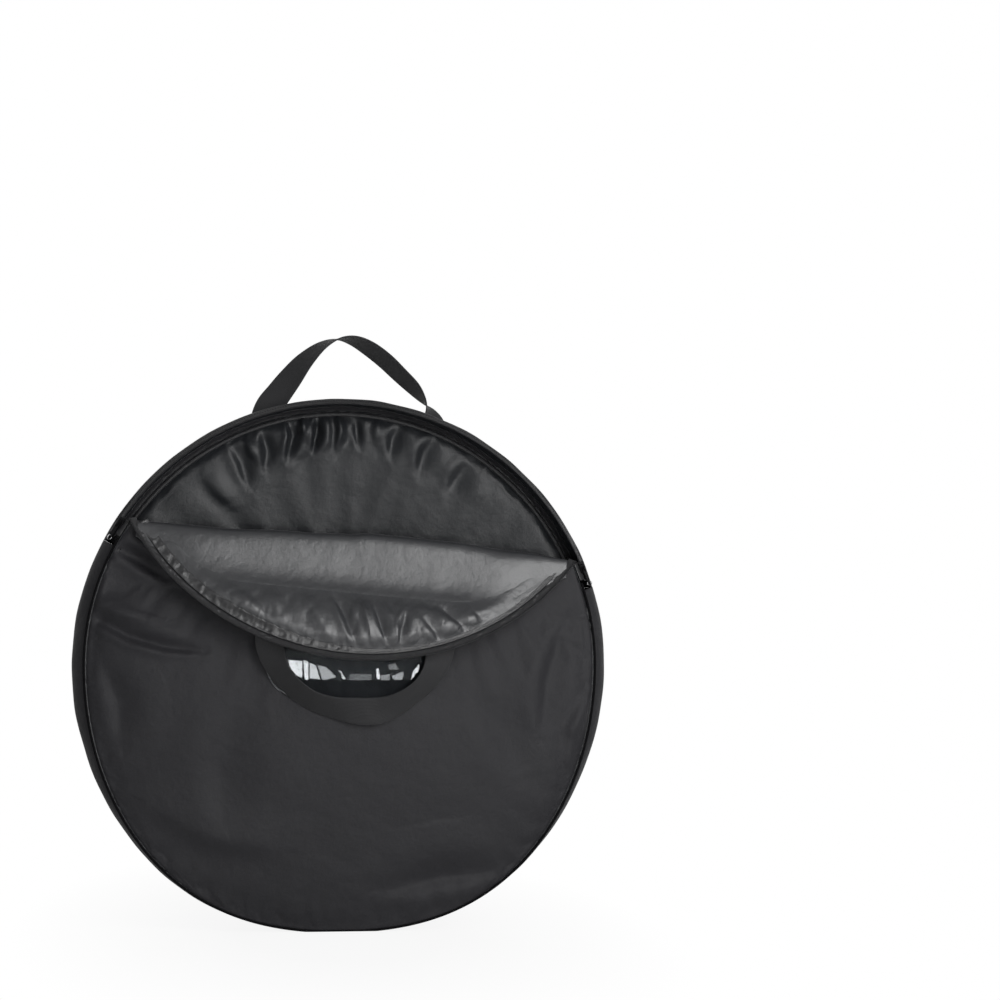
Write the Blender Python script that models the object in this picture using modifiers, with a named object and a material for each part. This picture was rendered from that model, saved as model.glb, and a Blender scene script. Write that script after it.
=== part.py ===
# Round padded bag for a bicycle wheel, standing on its rim with the top flap folded down in front.
# Metres, +Z up, +X to the right as seen from the front, -Y towards the front.
# The origin is in the middle of the flat strip on which the bag stands.

from math import acos, asin, atan2, cos, hypot, pi, radians, sin, sqrt

import bmesh
import bpy
from mathutils import Matrix, Vector

# The bag as a whole
BAG_RADIUS = 0.375
STANDING_SINK = 0.004
CENTRE_HEIGHT = BAG_RADIUS - STANDING_SINK
SLUMP = 0.008
SLUMP_PEAK_SHARE = 1.5
BOTTOM_CROWN_SHARE = 0.2
GAP = 0.0003
MERGE_DISTANCE = 0.000001
AROUND = 48

# The edge band between the two round panels, and how far its seams lie inside the widest line
FRONT_SEAM_DEPTH = 0.027
BACK_SEAM_DEPTH = 0.030
FRONT_SEAM_DROP = 0.017
BACK_SEAM_DROP = 0.014
UPPER_BAND_FRONT = 0.009
BAND_SLICES = 6
BAND_SPLIT = 0.0007

# The layers of a panel
FABRIC = 0.001
FOAM = 0.0045
LINING = 0.0006
LINING_SPACE = 0.0006
LINING_MARGIN = 0.008
PINCH_START = 0.002
PINCH_LENGTH = 0.0075
BACK_BULGE = 0.022
FRONT_BULGE = 0.028
FLAP_BULGE = 0.012
FLAP_RISE_LENGTH = 0.080
BINDING_RADIUS = 0.0015
BINDING_INSET = 0.005

# The opening: its middle direction, and half the angle that the zip spans
OPENING_ANGLE = radians(84.5)
ZIP_HALF_ANGLE = radians(62.5)
TAIL_LENGTH = 0.0175
TAIL_HALF_ANGLE = ZIP_HALF_ANGLE + TAIL_LENGTH / BAG_RADIUS
BAND_OVERLAP = 0.015
BAND_HALF_ANGLE = TAIL_HALF_ANGLE + BAND_OVERLAP / BAG_RADIUS
ARC_STEP = radians(2.5)
BAND_STEP = radians(5)

# The fold on which the flap turns
FOLD_RISE = 0.010
FOLD_ROLL_RADIUS = 0.0064
FOLD_ROLL_END_SHARE = 0.5
FOLD_ROLL_MARGIN = 0.008
FLAP_LEAN = radians(24)
FLAP_SEAM_DROP = 0.024
FLAP_END_CLEARANCE = 0.0045
PIPING_RADIUS = 0.0015

# The zip
COIL_RADIUS = 0.0015
COIL_SPACE = 0.0022
ZIP_DEPTH = 0.0195
TAPE = 0.0008

# A zip slider and its pull, in its own directions: length, width and height
SLIDER_LENGTH = 0.016
SLIDER_CLEARANCE = 0.0004
SLIDER_PLATE = 0.0012
SLIDER_WALL = 0.0008
SLIDER_STEP = 0.0002
SLIDER_POST_LENGTH = 0.004
SLIDER_POST_WIDTH = 0.0014
BAIL_LENGTH = 0.009
BAIL_WIDTH = 0.0018
BAIL_THICKNESS = 0.0012
BAIL_ROOM = 0.0019
PULL_LENGTH = 0.024
PULL_WIDTH = 0.0062
PULL_THICKNESS = 0.0012
PULL_ARM = 0.0014
PULL_WINDOW = 0.0069
PULL_HOLE = 0.0026
PULL_HOLE_WALL = 0.001
RING_RADIUS = 0.0036
RING_WIRE = 0.00065
STOP_LENGTH = 0.0024
STOP_HEIGHT = 0.0034

# The two carrying straps
STRAP_WIDTH = 0.040
STRAP = 0.0026
STRAP_STEPS = 3
SEWN_END_LENGTH = 0.034
STRAP_END_GAP = 0.0006
BACK_STRAP_ANGLE = radians(87.3)
BACK_STRAP_HALF_SPAN = 0.122
BACK_STRAP_INSET = 0.055
BACK_STRAP_REACH = BAG_RADIUS - BACK_STRAP_INSET
BACK_STRAP_RISE = 0.142
FLAP_STRAP_OFFSET = 0.012
FLAP_STRAP_HALF_SPAN = 0.120
FLAP_STRAP_INSET = 0.069
FLAP_STRAP_REACH = BAG_RADIUS - FLAP_STRAP_INSET
FLAP_STRAP_SPACE = 0.015
FLAP_STRAP_RISE = 0.120

# The clear card pocket on the front
WINDOW_WIDTH = 0.236
WINDOW_HEIGHT = 0.160
WINDOW_RIGHT = 0.009
WINDOW_UP = 0.031
WINDOW_SHEET = 0.0006
WINDOW_GAP = 0.0008
WINDOW_SQUARENESS = 7
PATCH_SQUARENESS = 12

# Route of the standing strap: shares of its half span and of its rise, the twist in degrees,
# and the share of its width by which its middle line stands off behind
BACK_STRAP_SHARES = (
    (-1.0, 0.0, 0, 0.0), (-0.99, 0.14, -5, 0.08), (-0.94, 0.28, -17, 0.21), (-0.84, 0.41, -27, 0.32),
    (-0.72, 0.56, -36, 0.40), (-0.56, 0.75, -53, 0.44), (-0.37, 0.91, -71, 0.46), (-0.18, 0.99, -88, 0.46),
    (0.0, 0.985, -106, 0.46), (0.18, 0.92, -117, 0.46), (0.38, 0.805, -120, 0.46), (0.57, 0.665, -118, 0.48),
    (0.73, 0.545, -113, 0.50), (0.83, 0.45, -101, 0.51), (0.90, 0.37, -84, 0.51), (0.95, 0.29, -58, 0.46),
    (0.985, 0.18, -27, 0.32), (1.0, 0.0, 0, 0.0),
)

# Route of the strap that hangs from the flap, in the same way
FLAP_STRAP_SHARES = (
    (-1.0, 0.0, 0, 0.0), (-0.995, 0.18, 8, 0.0), (-0.975, 0.34, 20, 0.0), (-0.91, 0.51, 36, 0.0),
    (-0.80, 0.67, 45, 0.0), (-0.64, 0.81, 49, 0.0), (-0.43, 0.925, 49, 0.0), (-0.18, 0.985, 42, 0.0),
    (0.08, 1.0, 25, 0.0), (0.30, 0.985, 18, 0.0), (0.50, 0.915, 34, 0.0), (0.70, 0.775, 46, 0.0),
    (0.85, 0.62, 44, 0.0), (0.95, 0.44, 32, 0.0), (0.99, 0.26, 14, 0.0), (1.0, 0.0, 0, 0.0),
)

# Rings of a panel, as shares of its radius. The foam ends short of the seam.
PANEL_SHARES = (0.0, 0.3, 0.58, 0.8, 0.92, 0.965, 1.0)
FOAM_SHARES = PANEL_SHARES[:-1]
LINING_SHARES = (0.0, 0.3, 0.58, 0.8, 0.92, 0.972, 1.0)

# Name: red, green, blue, roughness, metallic
COLOURS = {
    "outer_fabric": (0.038, 0.037, 0.043, 0.66, 0.0),
    "lining": (0.085, 0.087, 0.094, 0.42, 0.0),
    "foam": (0.62, 0.62, 0.60, 0.95, 0.0),
    "webbing": (0.028, 0.028, 0.030, 0.64, 0.0),
    "zip_tape": (0.026, 0.026, 0.028, 0.60, 0.0),
    "zip_coil": (0.018, 0.018, 0.020, 0.36, 0.0),
    "binding": (0.024, 0.024, 0.026, 0.60, 0.0),
    "slider_metal": (0.030, 0.030, 0.032, 0.32, 1.0),
    "ring_metal": (0.55, 0.55, 0.56, 0.25, 1.0),
    "clear_vinyl": (0.75, 0.78, 0.80, 0.08, 0.0),
}

UP = Vector((0.0, 0.0, 1.0))
BACKWARDS = Vector((0.0, 1.0, 0.0))
CENTRE = Vector((0.0, 0.0, CENTRE_HEIGHT))


def clear_scene():
    for thing in list(bpy.data.objects):
        bpy.data.objects.remove(thing, do_unlink=True)


def new_collection(name):
    collection = bpy.data.collections.new(name)
    bpy.context.scene.collection.children.link(collection)
    return collection


clear_scene()
BAG = new_collection("wheel_bag")
CUTTERS = new_collection("cutters")


def material(name):
    found = bpy.data.materials.get(name)
    if found:
        return found
    red, green, blue, roughness, metallic = COLOURS[name]
    made = bpy.data.materials.new(name)
    made.use_nodes = True
    shader = made.node_tree.nodes["Principled BSDF"]
    shader.inputs["Base Color"].default_value = (red, green, blue, 1.0)
    shader.inputs["Roughness"].default_value = roughness
    shader.inputs["Metallic"].default_value = metallic
    made.diffuse_color = (red, green, blue, 1.0)
    return made


def new_object(name, bm, finish, parent=None, collection=BAG):
    mesh = bpy.data.meshes.new(name)
    bm.to_mesh(mesh)
    bm.free()
    mesh.shade_smooth()
    mesh.set_sharp_from_angle(angle=radians(40))
    mesh.materials.append(material(finish))
    made = bpy.data.objects.new(name, mesh)
    collection.objects.link(made)
    if parent:
        made.parent = parent
    else:
        made.location = CENTRE
    return made


def new_empty(name, frame, parent=None):
    made = bpy.data.objects.new(name, None)
    BAG.objects.link(made)
    made.parent = parent
    made.matrix_local = frame
    return made


# Makes a shell on the inner side of a sheet, and this far under it
def thicken(made, thickness, under=0.0):
    modifier = made.modifiers.new("cloth", "SOLIDIFY")
    modifier.thickness = thickness
    modifier.offset = -1.0 - 2 * under / thickness
    return made


# Shape of the bag. Every place is given from the bag's middle, with the angle seen from the front.


def smooth(share):
    share = min(max(share, 0.0), 1.0)
    return share * share * (3.0 - 2.0 * share)


def downness(angle):
    return max(-sin(angle), 0.0)


# The lower half spreads under its own weight, most on the two lower diagonals
def rim_radius(angle):
    share = asin(min(downness(angle), 1.0)) / (pi / 2)
    return BAG_RADIUS + SLUMP * sin(pi * share**SLUMP_PEAK_SHARE) ** 2


# The band is crowned, and flattens towards the floor
def crown_share(angle):
    return 1.0 - (1.0 - BOTTOM_CROWN_SHARE) * smooth(downness(angle))


def crown_drop(depth):
    if depth < 0:
        return FRONT_SEAM_DROP * (depth / FRONT_SEAM_DEPTH) ** 2
    return BACK_SEAM_DROP * (depth / BACK_SEAM_DEPTH) ** 2


def rim_point(angle, depth, drop, inset=0.0):
    radius = rim_radius(angle) - drop * crown_share(angle) - inset
    return Vector((radius * cos(angle), depth, max(radius * sin(angle), inset - CENTRE_HEIGHT)))


def opening_direction():
    return Vector((cos(OPENING_ANGLE), 0.0, sin(OPENING_ANGLE)))


def fold_reach():
    return (BAG_RADIUS - crown_drop(-ZIP_DEPTH)) * cos(ZIP_HALF_ANGLE) + FOLD_RISE


def front_bulge(share, height):
    return FRONT_BULGE * (1.0 - share**2) * smooth((fold_reach() - height) / fold_reach())


def flap_bulge(share, height):
    return FLAP_BULGE * (1.0 - share**2) * smooth((height - fold_reach()) / FLAP_RISE_LENGTH)


def back_bulge(share, height):
    return BACK_BULGE * (1.0 - share**2)


def seam_radius(angle, seam_drop):
    return rim_radius(angle) - seam_drop * crown_share(angle)


# A place on a flat panel. Margin is how far from the seam its last ring ends.
def panel_place(share, angle, seam_drop, margin):
    seam = seam_radius(angle, seam_drop)
    radius = share * seam if share < 1.0 else seam - margin
    return Vector((radius * cos(angle), 0.0, max(radius * sin(angle), margin - CENTRE_HEIGHT)))


# How deep a panel's layer lies at a place: side is -1 in front and 1 behind
def panel_depth(place, side, seam_drop, bulge, layer):
    seam = seam_radius(atan2(place.z, place.x), seam_drop)
    radius = hypot(place.x, place.z)
    seam_depth = FRONT_SEAM_DEPTH if side < 0 else BACK_SEAM_DEPTH
    bulged = seam_depth + bulge(min(radius / seam, 1.0), place.dot(opening_direction()))
    return side * (bulged - layer(seam - radius))


def fabric_layer(seam_distance):
    return 0.0


def foam_layer(seam_distance):
    return FABRIC + GAP


# The lining runs behind the foam, and comes in to the outer fabric at the seam
def lining_layer(seam_distance):
    pinch = smooth((seam_distance - PINCH_START) / PINCH_LENGTH)
    return FABRIC + GAP + (FOAM + LINING_SPACE) * pinch


# Turns a line of points about the bag's axis, as a sheet whose points hold (share, angle)
def turned_sheet(shares, start, end, steps, along_radius):
    bm = bmesh.new()
    corners = []
    for share in shares:
        radius, depth = (share, 0.0) if along_radius else (1.0, share)
        corners.append(bm.verts.new((radius * cos(start), depth, radius * sin(start))))
    edges = [bm.edges.new(pair) for pair in zip(corners, corners[1:])]
    whole = abs(end - start - 2 * pi) < MERGE_DISTANCE
    bmesh.ops.spin(
        bm, geom=corners + edges, cent=(0, 0, 0), axis=(0, -1, 0),
        angle=end - start, steps=steps, use_merge=whole,
    )
    bmesh.ops.remove_doubles(bm, verts=bm.verts, dist=MERGE_DISTANCE)
    return bm


def shape_sheet(bm, shape, along_radius):
    for corner in bm.verts:
        x, y, z = corner.co
        share = round(hypot(x, z), 5) if along_radius else y
        corner.co = shape(share, atan2(z, x))


def face_outwards(bm, outward):
    bmesh.ops.recalc_face_normals(bm, faces=bm.faces)
    bm.normal_update()
    facing = 0.0
    for face in bm.faces:
        facing += face.normal.dot(outward(face.calc_center_median())) * face.calc_area()
    if facing < 0:
        bmesh.ops.reverse_faces(bm, faces=bm.faces)


# A round panel layer, cut where keep says: 1 keeps what lies above the fold, -1 below, 0 all
def panel_sheet(shares, side, seam_drop, bulge, margin, layer, keep=0):
    bm = turned_sheet(shares, 0.0, 2 * pi, AROUND, True)
    # The same split in every layer keeps their distance even on the curved parts
    bmesh.ops.triangulate(bm, faces=bm.faces, quad_method="FIXED")

    def shape(share, angle):
        return panel_place(share, angle, seam_drop, margin)

    shape_sheet(bm, shape, True)
    if keep:
        reach = fold_reach() + keep * (FOLD_ROLL_RADIUS + GAP)
        bmesh.ops.bisect_plane(
            bm, geom=bm.verts[:] + bm.edges[:] + bm.faces[:],
            plane_co=opening_direction() * reach, plane_no=opening_direction() * keep,
            clear_inner=True,
        )
    for corner in bm.verts:
        corner.co.y = panel_depth(corner.co, side, seam_drop, bulge, layer)
    face_outwards(bm, lambda place: BACKWARDS * side)
    return bm


# A band round the rim: shares run from its front edge to its back edge
def band_sheet(shares, front, back, start, end, steps):
    bm = turned_sheet(shares, start, end, steps, False)

    def shape(share, angle):
        depth = front + (back - front) * share
        return rim_point(angle, depth, crown_drop(depth))

    shape_sheet(bm, shape, False)
    face_outwards(bm, lambda place: Vector((place.x, 0.0, place.z)))
    return bm


# A round cord that follows the rim
def rim_cord(name, finish, radius, start, end, drop, depth, inset=0.0, step=ARC_STEP, sides=2):
    count = max(2, round((end - start) / step))
    route = []
    for number in range(count + 1):
        angle = start + (end - start) * number / count
        route.append(rim_point(angle, depth, drop, inset))
    return cord(name, finish, radius, route, sides)


def cord(name, finish, radius, route, sides=2, swell=None):
    data = bpy.data.curves.new(name, "CURVE")
    data.dimensions = "3D"
    data.bevel_depth = radius
    data.bevel_resolution = sides
    data.use_fill_caps = True
    line = data.splines.new("POLY")
    line.points.add(len(route) - 1)
    for number, place in enumerate(route):
        line.points[number].co = (*place, 1.0)
        line.points[number].radius = swell(number / (len(route) - 1)) if swell else 1.0
    data.materials.append(material(finish))
    made = bpy.data.objects.new(name, data)
    made.location = CENTRE
    BAG.objects.link(made)
    return made


# The fold: an empty on its axis, turned so that its X runs along it. At rest the flap is folded down.


def fold_frame():
    place = opening_direction() * fold_reach()
    place.y = -FRONT_SEAM_DEPTH - GAP
    return Matrix.Translation(place) @ Matrix.Rotation(pi / 2 - OPENING_ANGLE, 4, "Y")


def fold_angle():
    return pi - FLAP_LEAN


FOLD_HINGE = new_empty(
    "fold_hinge", Matrix.Translation(CENTRE) @ fold_frame() @ Matrix.Rotation(fold_angle(), 4, "X")
)


# What belongs to the flap is shaped as if closed, then held by the hinge
def on_flap(name, bm, finish):
    bm.transform(fold_frame().inverted())
    return new_object(name, bm, finish, FOLD_HINGE)


# The panels


def make_back_panel():
    shape = (1, BACK_SEAM_DROP, back_bulge)
    outer = panel_sheet(PANEL_SHARES, *shape, GAP, fabric_layer)
    thicken(new_object("back_outer_fabric", outer, "outer_fabric"), FABRIC)
    foam = panel_sheet(FOAM_SHARES, *shape, GAP, foam_layer)
    thicken(new_object("back_foam", foam, "foam"), FOAM)
    lining = panel_sheet(LINING_SHARES, *shape, LINING_MARGIN, lining_layer)
    thicken(new_object("back_lining", lining, "lining"), LINING)


def make_front_panel():
    shape = (-1, FRONT_SEAM_DROP, front_bulge)
    outer = panel_sheet(PANEL_SHARES, *shape, GAP, fabric_layer, -1)
    thicken(new_object("front_outer_fabric", outer, "outer_fabric"), FABRIC)
    foam = panel_sheet(FOAM_SHARES, *shape, GAP, foam_layer, -1)
    thicken(new_object("front_foam", foam, "foam"), FOAM)
    lining = panel_sheet(LINING_SHARES, *shape, LINING_MARGIN, lining_layer, -1)
    thicken(new_object("front_lining", lining, "lining"), LINING)


def make_flap():
    shape = (-1, FLAP_SEAM_DROP, flap_bulge)
    outer = panel_sheet(PANEL_SHARES, *shape, GAP, fabric_layer, 1)
    thicken(on_flap("flap_outer_fabric", outer, "outer_fabric"), FABRIC)
    foam = panel_sheet(FOAM_SHARES, *shape, GAP, foam_layer, 1)
    thicken(on_flap("flap_foam", foam, "foam"), FOAM)
    lining = panel_sheet(LINING_SHARES, *shape, PINCH_START, lining_layer, 1)
    thicken(on_flap("flap_lining", lining, "lining"), LINING)


# The padded cloth turns over here, thickest in the middle of the fold
def make_fold_roll():
    half = sqrt((BAG_RADIUS - FRONT_SEAM_DROP) ** 2 - fold_reach() ** 2) - FOLD_ROLL_MARGIN
    count = 16
    frame = fold_frame()
    route = [frame @ Vector((half * (2 * number / count - 1), 0.0, 0.0)) for number in range(count + 1)]

    def swell(share):
        return 1.0 - (1.0 - FOLD_ROLL_END_SHARE) * abs(2 * share - 1) ** 3

    cord("fold_roll", "outer_fabric", FOLD_ROLL_RADIUS, route, 3, swell)


# The band round the edge: narrow where the zip opens, full width elsewhere


def left(half_angle):
    return OPENING_ANGLE + half_angle


def right(half_angle):
    return OPENING_ANGLE - half_angle


def make_edge_band():
    back = BACK_SEAM_DEPTH - FABRIC - GAP
    front = -(FRONT_SEAM_DEPTH - FABRIC - GAP)
    shares = [number / BAND_SLICES for number in range(BAND_SLICES + 1)]
    split = BAND_SPLIT / BAG_RADIUS
    over = (right(BAND_HALF_ANGLE) + split, left(BAND_HALF_ANGLE) - split)
    under = (left(BAND_HALF_ANGLE), right(BAND_HALF_ANGLE) + 2 * pi)
    bands = (("upper", -UPPER_BAND_FRONT, over, shares[:-1]), ("lower", front, under, shares[1:-1]))
    for name, low, span, lining_shares in bands:
        steps = round((span[1] - span[0]) / BAND_STEP)
        outer = band_sheet(shares, low, back, *span, steps)
        thicken(new_object(name + "_edge_band", outer, "outer_fabric"), FABRIC)
        lining = band_sheet(lining_shares, low, back, *span, steps)
        thicken(new_object(name + "_band_lining", lining, "lining"), LINING, FABRIC + GAP)


def make_seam_bindings():
    under = FABRIC + GAP + BINDING_RADIUS
    start = left(BAND_HALF_ANGLE)
    end = right(BAND_HALF_ANGLE) + 2 * pi
    rim_cord(
        "front_seam_binding", "binding", BINDING_RADIUS, start, end,
        FRONT_SEAM_DROP, -(FRONT_SEAM_DEPTH - under), BINDING_INSET, BAND_STEP, 1,
    )
    rim_cord(
        "back_seam_binding", "binding", BINDING_RADIUS, left(0.0), left(0.0) + 2 * pi - BAND_STEP / 4,
        BACK_SEAM_DROP, BACK_SEAM_DEPTH - under, BINDING_INSET, BAND_STEP, 1,
    )


# The zip. Its two coils run side by side on the crown of the band, with room for the slider's post.


class ZipLine:
    def __init__(self):
        slope = 2 * FRONT_SEAM_DROP * ZIP_DEPTH / FRONT_SEAM_DEPTH**2
        length = hypot(slope, 1.0)
        # Seen across the rim, (drop, depth) along the tape towards the flap, and outwards
        self.along = (slope / length, -1.0 / length)
        self.outward = (-1.0 / length, -slope / length)
        self.drop = crown_drop(-ZIP_DEPTH) - self.outward[0] * TAPE / 2
        self.depth = -ZIP_DEPTH - self.outward[1] * TAPE / 2

    # A place beside the middle of the zip, as (drop, depth)
    def beside(self, along, outward=0.0):
        drop = self.drop + self.along[0] * along + self.outward[0] * outward
        depth = self.depth + self.along[1] * along + self.outward[1] * outward
        return drop, depth

    # The slider's own frame at an angle: X towards its head, Z outwards
    def frame(self, angle, head):
        outward = Vector((-self.outward[0] * cos(angle), self.outward[1], -self.outward[0] * sin(angle)))
        forward = Vector((-sin(angle), 0.0, cos(angle))) * head
        turn = Matrix((forward, outward.cross(forward), outward)).transposed().to_4x4()
        return Matrix.Translation(rim_point(angle, self.depth, self.drop)) @ turn


ZIP = ZipLine()
COIL_OFFSET = COIL_SPACE / 2 + COIL_RADIUS
TAPE_OFFSET = COIL_OFFSET + COIL_RADIUS + GAP
SLIDER_WALL_OFFSET = COIL_OFFSET + COIL_RADIUS + SLIDER_CLEARANCE
SLIDER_SIDE = SLIDER_WALL_OFFSET + SLIDER_WALL + SLIDER_STEP


# A strip of tape over places across the rim, each (drop, depth)
def tape_strip(places, start, end):
    steps = max(1, round((end - start) / ARC_STEP))
    last = len(places) - 1
    bm = turned_sheet([number / last for number in range(last + 1)], start, end, steps, False)

    def shape(share, angle):
        drop, depth = places[round(share * last)]
        return rim_point(angle, depth, drop)

    shape_sheet(bm, shape, False)
    face_outwards(bm, lambda place: Vector((place.x, 0.0, place.z)))
    return bm


def make_rim_zip():
    edge_depth = -UPPER_BAND_FRONT - BAND_SPLIT
    band_edge = (crown_drop(edge_depth), edge_depth)
    coil_edge = ZIP.beside(-TAPE_OFFSET, TAPE / 2)
    tape = tape_strip((band_edge, coil_edge), right(TAIL_HALF_ANGLE), left(TAIL_HALF_ANGLE))
    thicken(new_object("rim_zip_tape", tape, "zip_tape"), TAPE)
    rim_cord(
        "rim_zip_coil", "zip_coil", COIL_RADIUS, right(TAIL_HALF_ANGLE), left(TAIL_HALF_ANGLE),
        *ZIP.beside(-COIL_OFFSET),
    )


def flap_zip_half_angle():
    reach = fold_reach() + FLAP_END_CLEARANCE
    return acos(reach / (BAG_RADIUS - ZIP.beside(COIL_OFFSET)[0]))


def piping_place():
    return FLAP_SEAM_DROP - PIPING_RADIUS, -(FRONT_SEAM_DEPTH - FABRIC / 2)


def make_flap_zip():
    half = flap_zip_half_angle()
    drop, depth = piping_place()
    seam_edge = (drop - PIPING_RADIUS - GAP, depth - TAPE / 2)
    # It stays in line with the zip until it is out of the slider's slot
    coil_edge = ZIP.beside(TAPE_OFFSET, TAPE / 2)
    bend = ZIP.beside(SLIDER_SIDE + SLIDER_CLEARANCE, TAPE / 2)
    tape = tape_strip((coil_edge, bend, seam_edge), right(half), left(half))
    thicken(on_flap("flap_zip_tape", tape, "zip_tape"), TAPE)
    coil_place = ZIP.beside(COIL_OFFSET)
    coil = rim_cord("flap_zip_coil", "zip_coil", COIL_RADIUS, right(half), left(half), *coil_place)
    hold_on_flap(coil)
    seam_half = acos((fold_reach() + FOLD_ROLL_RADIUS) / (BAG_RADIUS - drop))
    piping = rim_cord(
        "flap_edge_piping", "binding", PIPING_RADIUS, right(seam_half), left(seam_half),
        drop, depth, 0.0, ARC_STEP, 1,
    )
    hold_on_flap(piping)


# A curve that was shaped as if the flap were closed
def hold_on_flap(made):
    made.location = (0.0, 0.0, 0.0)
    made.parent = FOLD_HINGE
    made.data.transform(fold_frame().inverted())


# The ends of the zip below the fold, where both tapes are sewn to the bag
def make_zip_tails():
    drop = FRONT_SEAM_DROP - GAP
    depth = -(FRONT_SEAM_DEPTH - FABRIC / 2)
    seam_radius = BAG_RADIUS - FRONT_SEAM_DROP
    start = acos((fold_reach() - FOLD_ROLL_RADIUS) / seam_radius)
    for name, side in (("left", 1), ("right", -1)):
        ends = sorted((OPENING_ANGLE + side * start, OPENING_ANGLE + side * TAIL_HALF_ANGLE))
        tape = tape_strip((ZIP.beside(TAPE_OFFSET, TAPE / 2), (drop, depth)), *ends)
        thicken(new_object(name + "_tail_tape", tape, "zip_tape"), TAPE)
        rim_cord(name + "_tail_coil", "zip_coil", COIL_RADIUS, *ends, *ZIP.beside(COIL_OFFSET))
        stop_turn = side * (TAIL_HALF_ANGLE + (STOP_LENGTH / 2 + GAP) / BAG_RADIUS)
        width = 2 * (COIL_OFFSET + COIL_RADIUS)
        stop = block(STOP_LENGTH, width, STOP_HEIGHT, (0.0, 0.0, 0.0))
        stop.transform(ZIP.frame(OPENING_ANGLE + stop_turn, -side))
        soften(new_object(name + "_zip_stop", stop, "slider_metal"), STOP_LENGTH / 6)


# Blocks, and solids joined from blocks


def block(length, width, height, place):
    bm = bmesh.new()
    bmesh.ops.create_cube(bm, size=1.0)
    bmesh.ops.scale(bm, vec=(length, width, height), verts=bm.verts)
    bmesh.ops.translate(bm, vec=place, verts=bm.verts)
    return bm


def soften(made, width):
    modifier = made.modifiers.new("edges", "BEVEL")
    modifier.width = width
    modifier.segments = 1
    modifier.limit_method = "ANGLE"
    modifier.angle_limit = radians(50)
    return made


def helper(name, bm, finish, parent):
    made = new_object(name, bm, finish, parent, CUTTERS)
    made.hide_render = True
    made.display_type = "WIRE"
    return made


def combine(made, name, bm, finish, operation):
    modifier = made.modifiers.new(name, "BOOLEAN")
    modifier.operation = operation
    modifier.solver = "EXACT"
    modifier.object = helper(name, bm, finish, made.parent)


# A slider: two plates round both coils, joined by the post that parts them, with a bail on top


def make_slider(name, angle, head):
    track = new_empty(name + "_seat", Matrix.Translation(CENTRE) @ ZIP.frame(angle, head))
    inner = COIL_RADIUS + SLIDER_CLEARANCE
    width = 2 * SLIDER_SIDE
    slot = TAPE / 2 + SLIDER_CLEARANCE
    plate_middle = inner + SLIDER_PLATE / 2
    bail_foot = inner + SLIDER_PLATE
    bail_bar = bail_foot + BAIL_ROOM + BAIL_THICKNESS / 2
    plate = block(SLIDER_LENGTH, width, SLIDER_PLATE, (0, 0, plate_middle))
    made = new_object(name, plate, "slider_metal", track)
    # Each shape ends inside its neighbour, and its faces are a step in from the neighbour's
    post = (SLIDER_LENGTH - SLIDER_POST_LENGTH) / 2 - SLIDER_STEP
    wall_length = SLIDER_LENGTH - 2 * SLIDER_STEP
    wall_height = plate_middle - slot
    wall_middle = (plate_middle + slot) / 2
    wall_side = SLIDER_WALL_OFFSET + SLIDER_WALL / 2
    leg_width = BAIL_WIDTH - 2 * SLIDER_STEP
    leg_side = (BAIL_LENGTH - BAIL_THICKNESS) / 2 - SLIDER_STEP
    leg_height = bail_bar - plate_middle
    leg_middle = (bail_bar + plate_middle) / 2
    shapes = [
        ("lower_plate", (SLIDER_LENGTH, width, SLIDER_PLATE), (0, 0, -plate_middle)),
        ("post", (SLIDER_POST_LENGTH, SLIDER_POST_WIDTH, 2 * plate_middle), (post, 0, 0)),
        ("bail_bar", (BAIL_LENGTH, BAIL_WIDTH, BAIL_THICKNESS), (0, 0, bail_bar)),
    ]
    for side in (-1, 1):
        leg = (BAIL_THICKNESS, leg_width, leg_height)
        shapes.append((f"bail_leg_{side}", leg, (side * leg_side, 0, leg_middle)))
        for level in (-1, 1):
            wall = (wall_length, SLIDER_WALL, wall_height)
            shapes.append((f"wall_{side}_{level}", wall, (0, side * wall_side, level * wall_middle)))
    for label, size, place in shapes:
        combine(made, name + "_" + label, block(*size, place), "slider_metal", "UNION")
    make_pull(name, track, bail_foot + BAIL_ROOM / 2)


# The pull lies along the closed zip, away from the slider's head, and swings on its own crossbar
def make_pull(name, track, height):
    pivot = new_empty(name + "_pull_pivot", Matrix.Translation((0.0, 0.0, height)), track)
    middle = PULL_THICKNESS / 2 - PULL_LENGTH / 2
    pull = block(PULL_LENGTH, PULL_WIDTH, PULL_THICKNESS, (middle, 0.0, 0.0))
    made = new_object(name + "_pull", pull, "slider_metal", pivot)
    thick = 2 * PULL_THICKNESS
    window_place = (-(PULL_THICKNESS + PULL_WINDOW) / 2, 0.0, 0.0)
    window = block(PULL_WINDOW, PULL_WIDTH - 2 * PULL_ARM, thick, window_place)
    combine(made, name + "_pull_window", window, "slider_metal", "DIFFERENCE")
    hole_place = PULL_THICKNESS / 2 - PULL_LENGTH + PULL_HOLE_WALL + PULL_HOLE / 2
    hole = bmesh.new()
    bmesh.ops.create_cone(
        hole, cap_ends=True, segments=10, radius1=PULL_HOLE / 2, radius2=PULL_HOLE / 2, depth=thick
    )
    bmesh.ops.translate(hole, vec=(hole_place, 0.0, 0.0), verts=hole.verts)
    combine(made, name + "_pull_hole", hole, "slider_metal", "DIFFERENCE")
    make_ring(name + "_ring", pivot, hole_place - RING_RADIUS)


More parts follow.
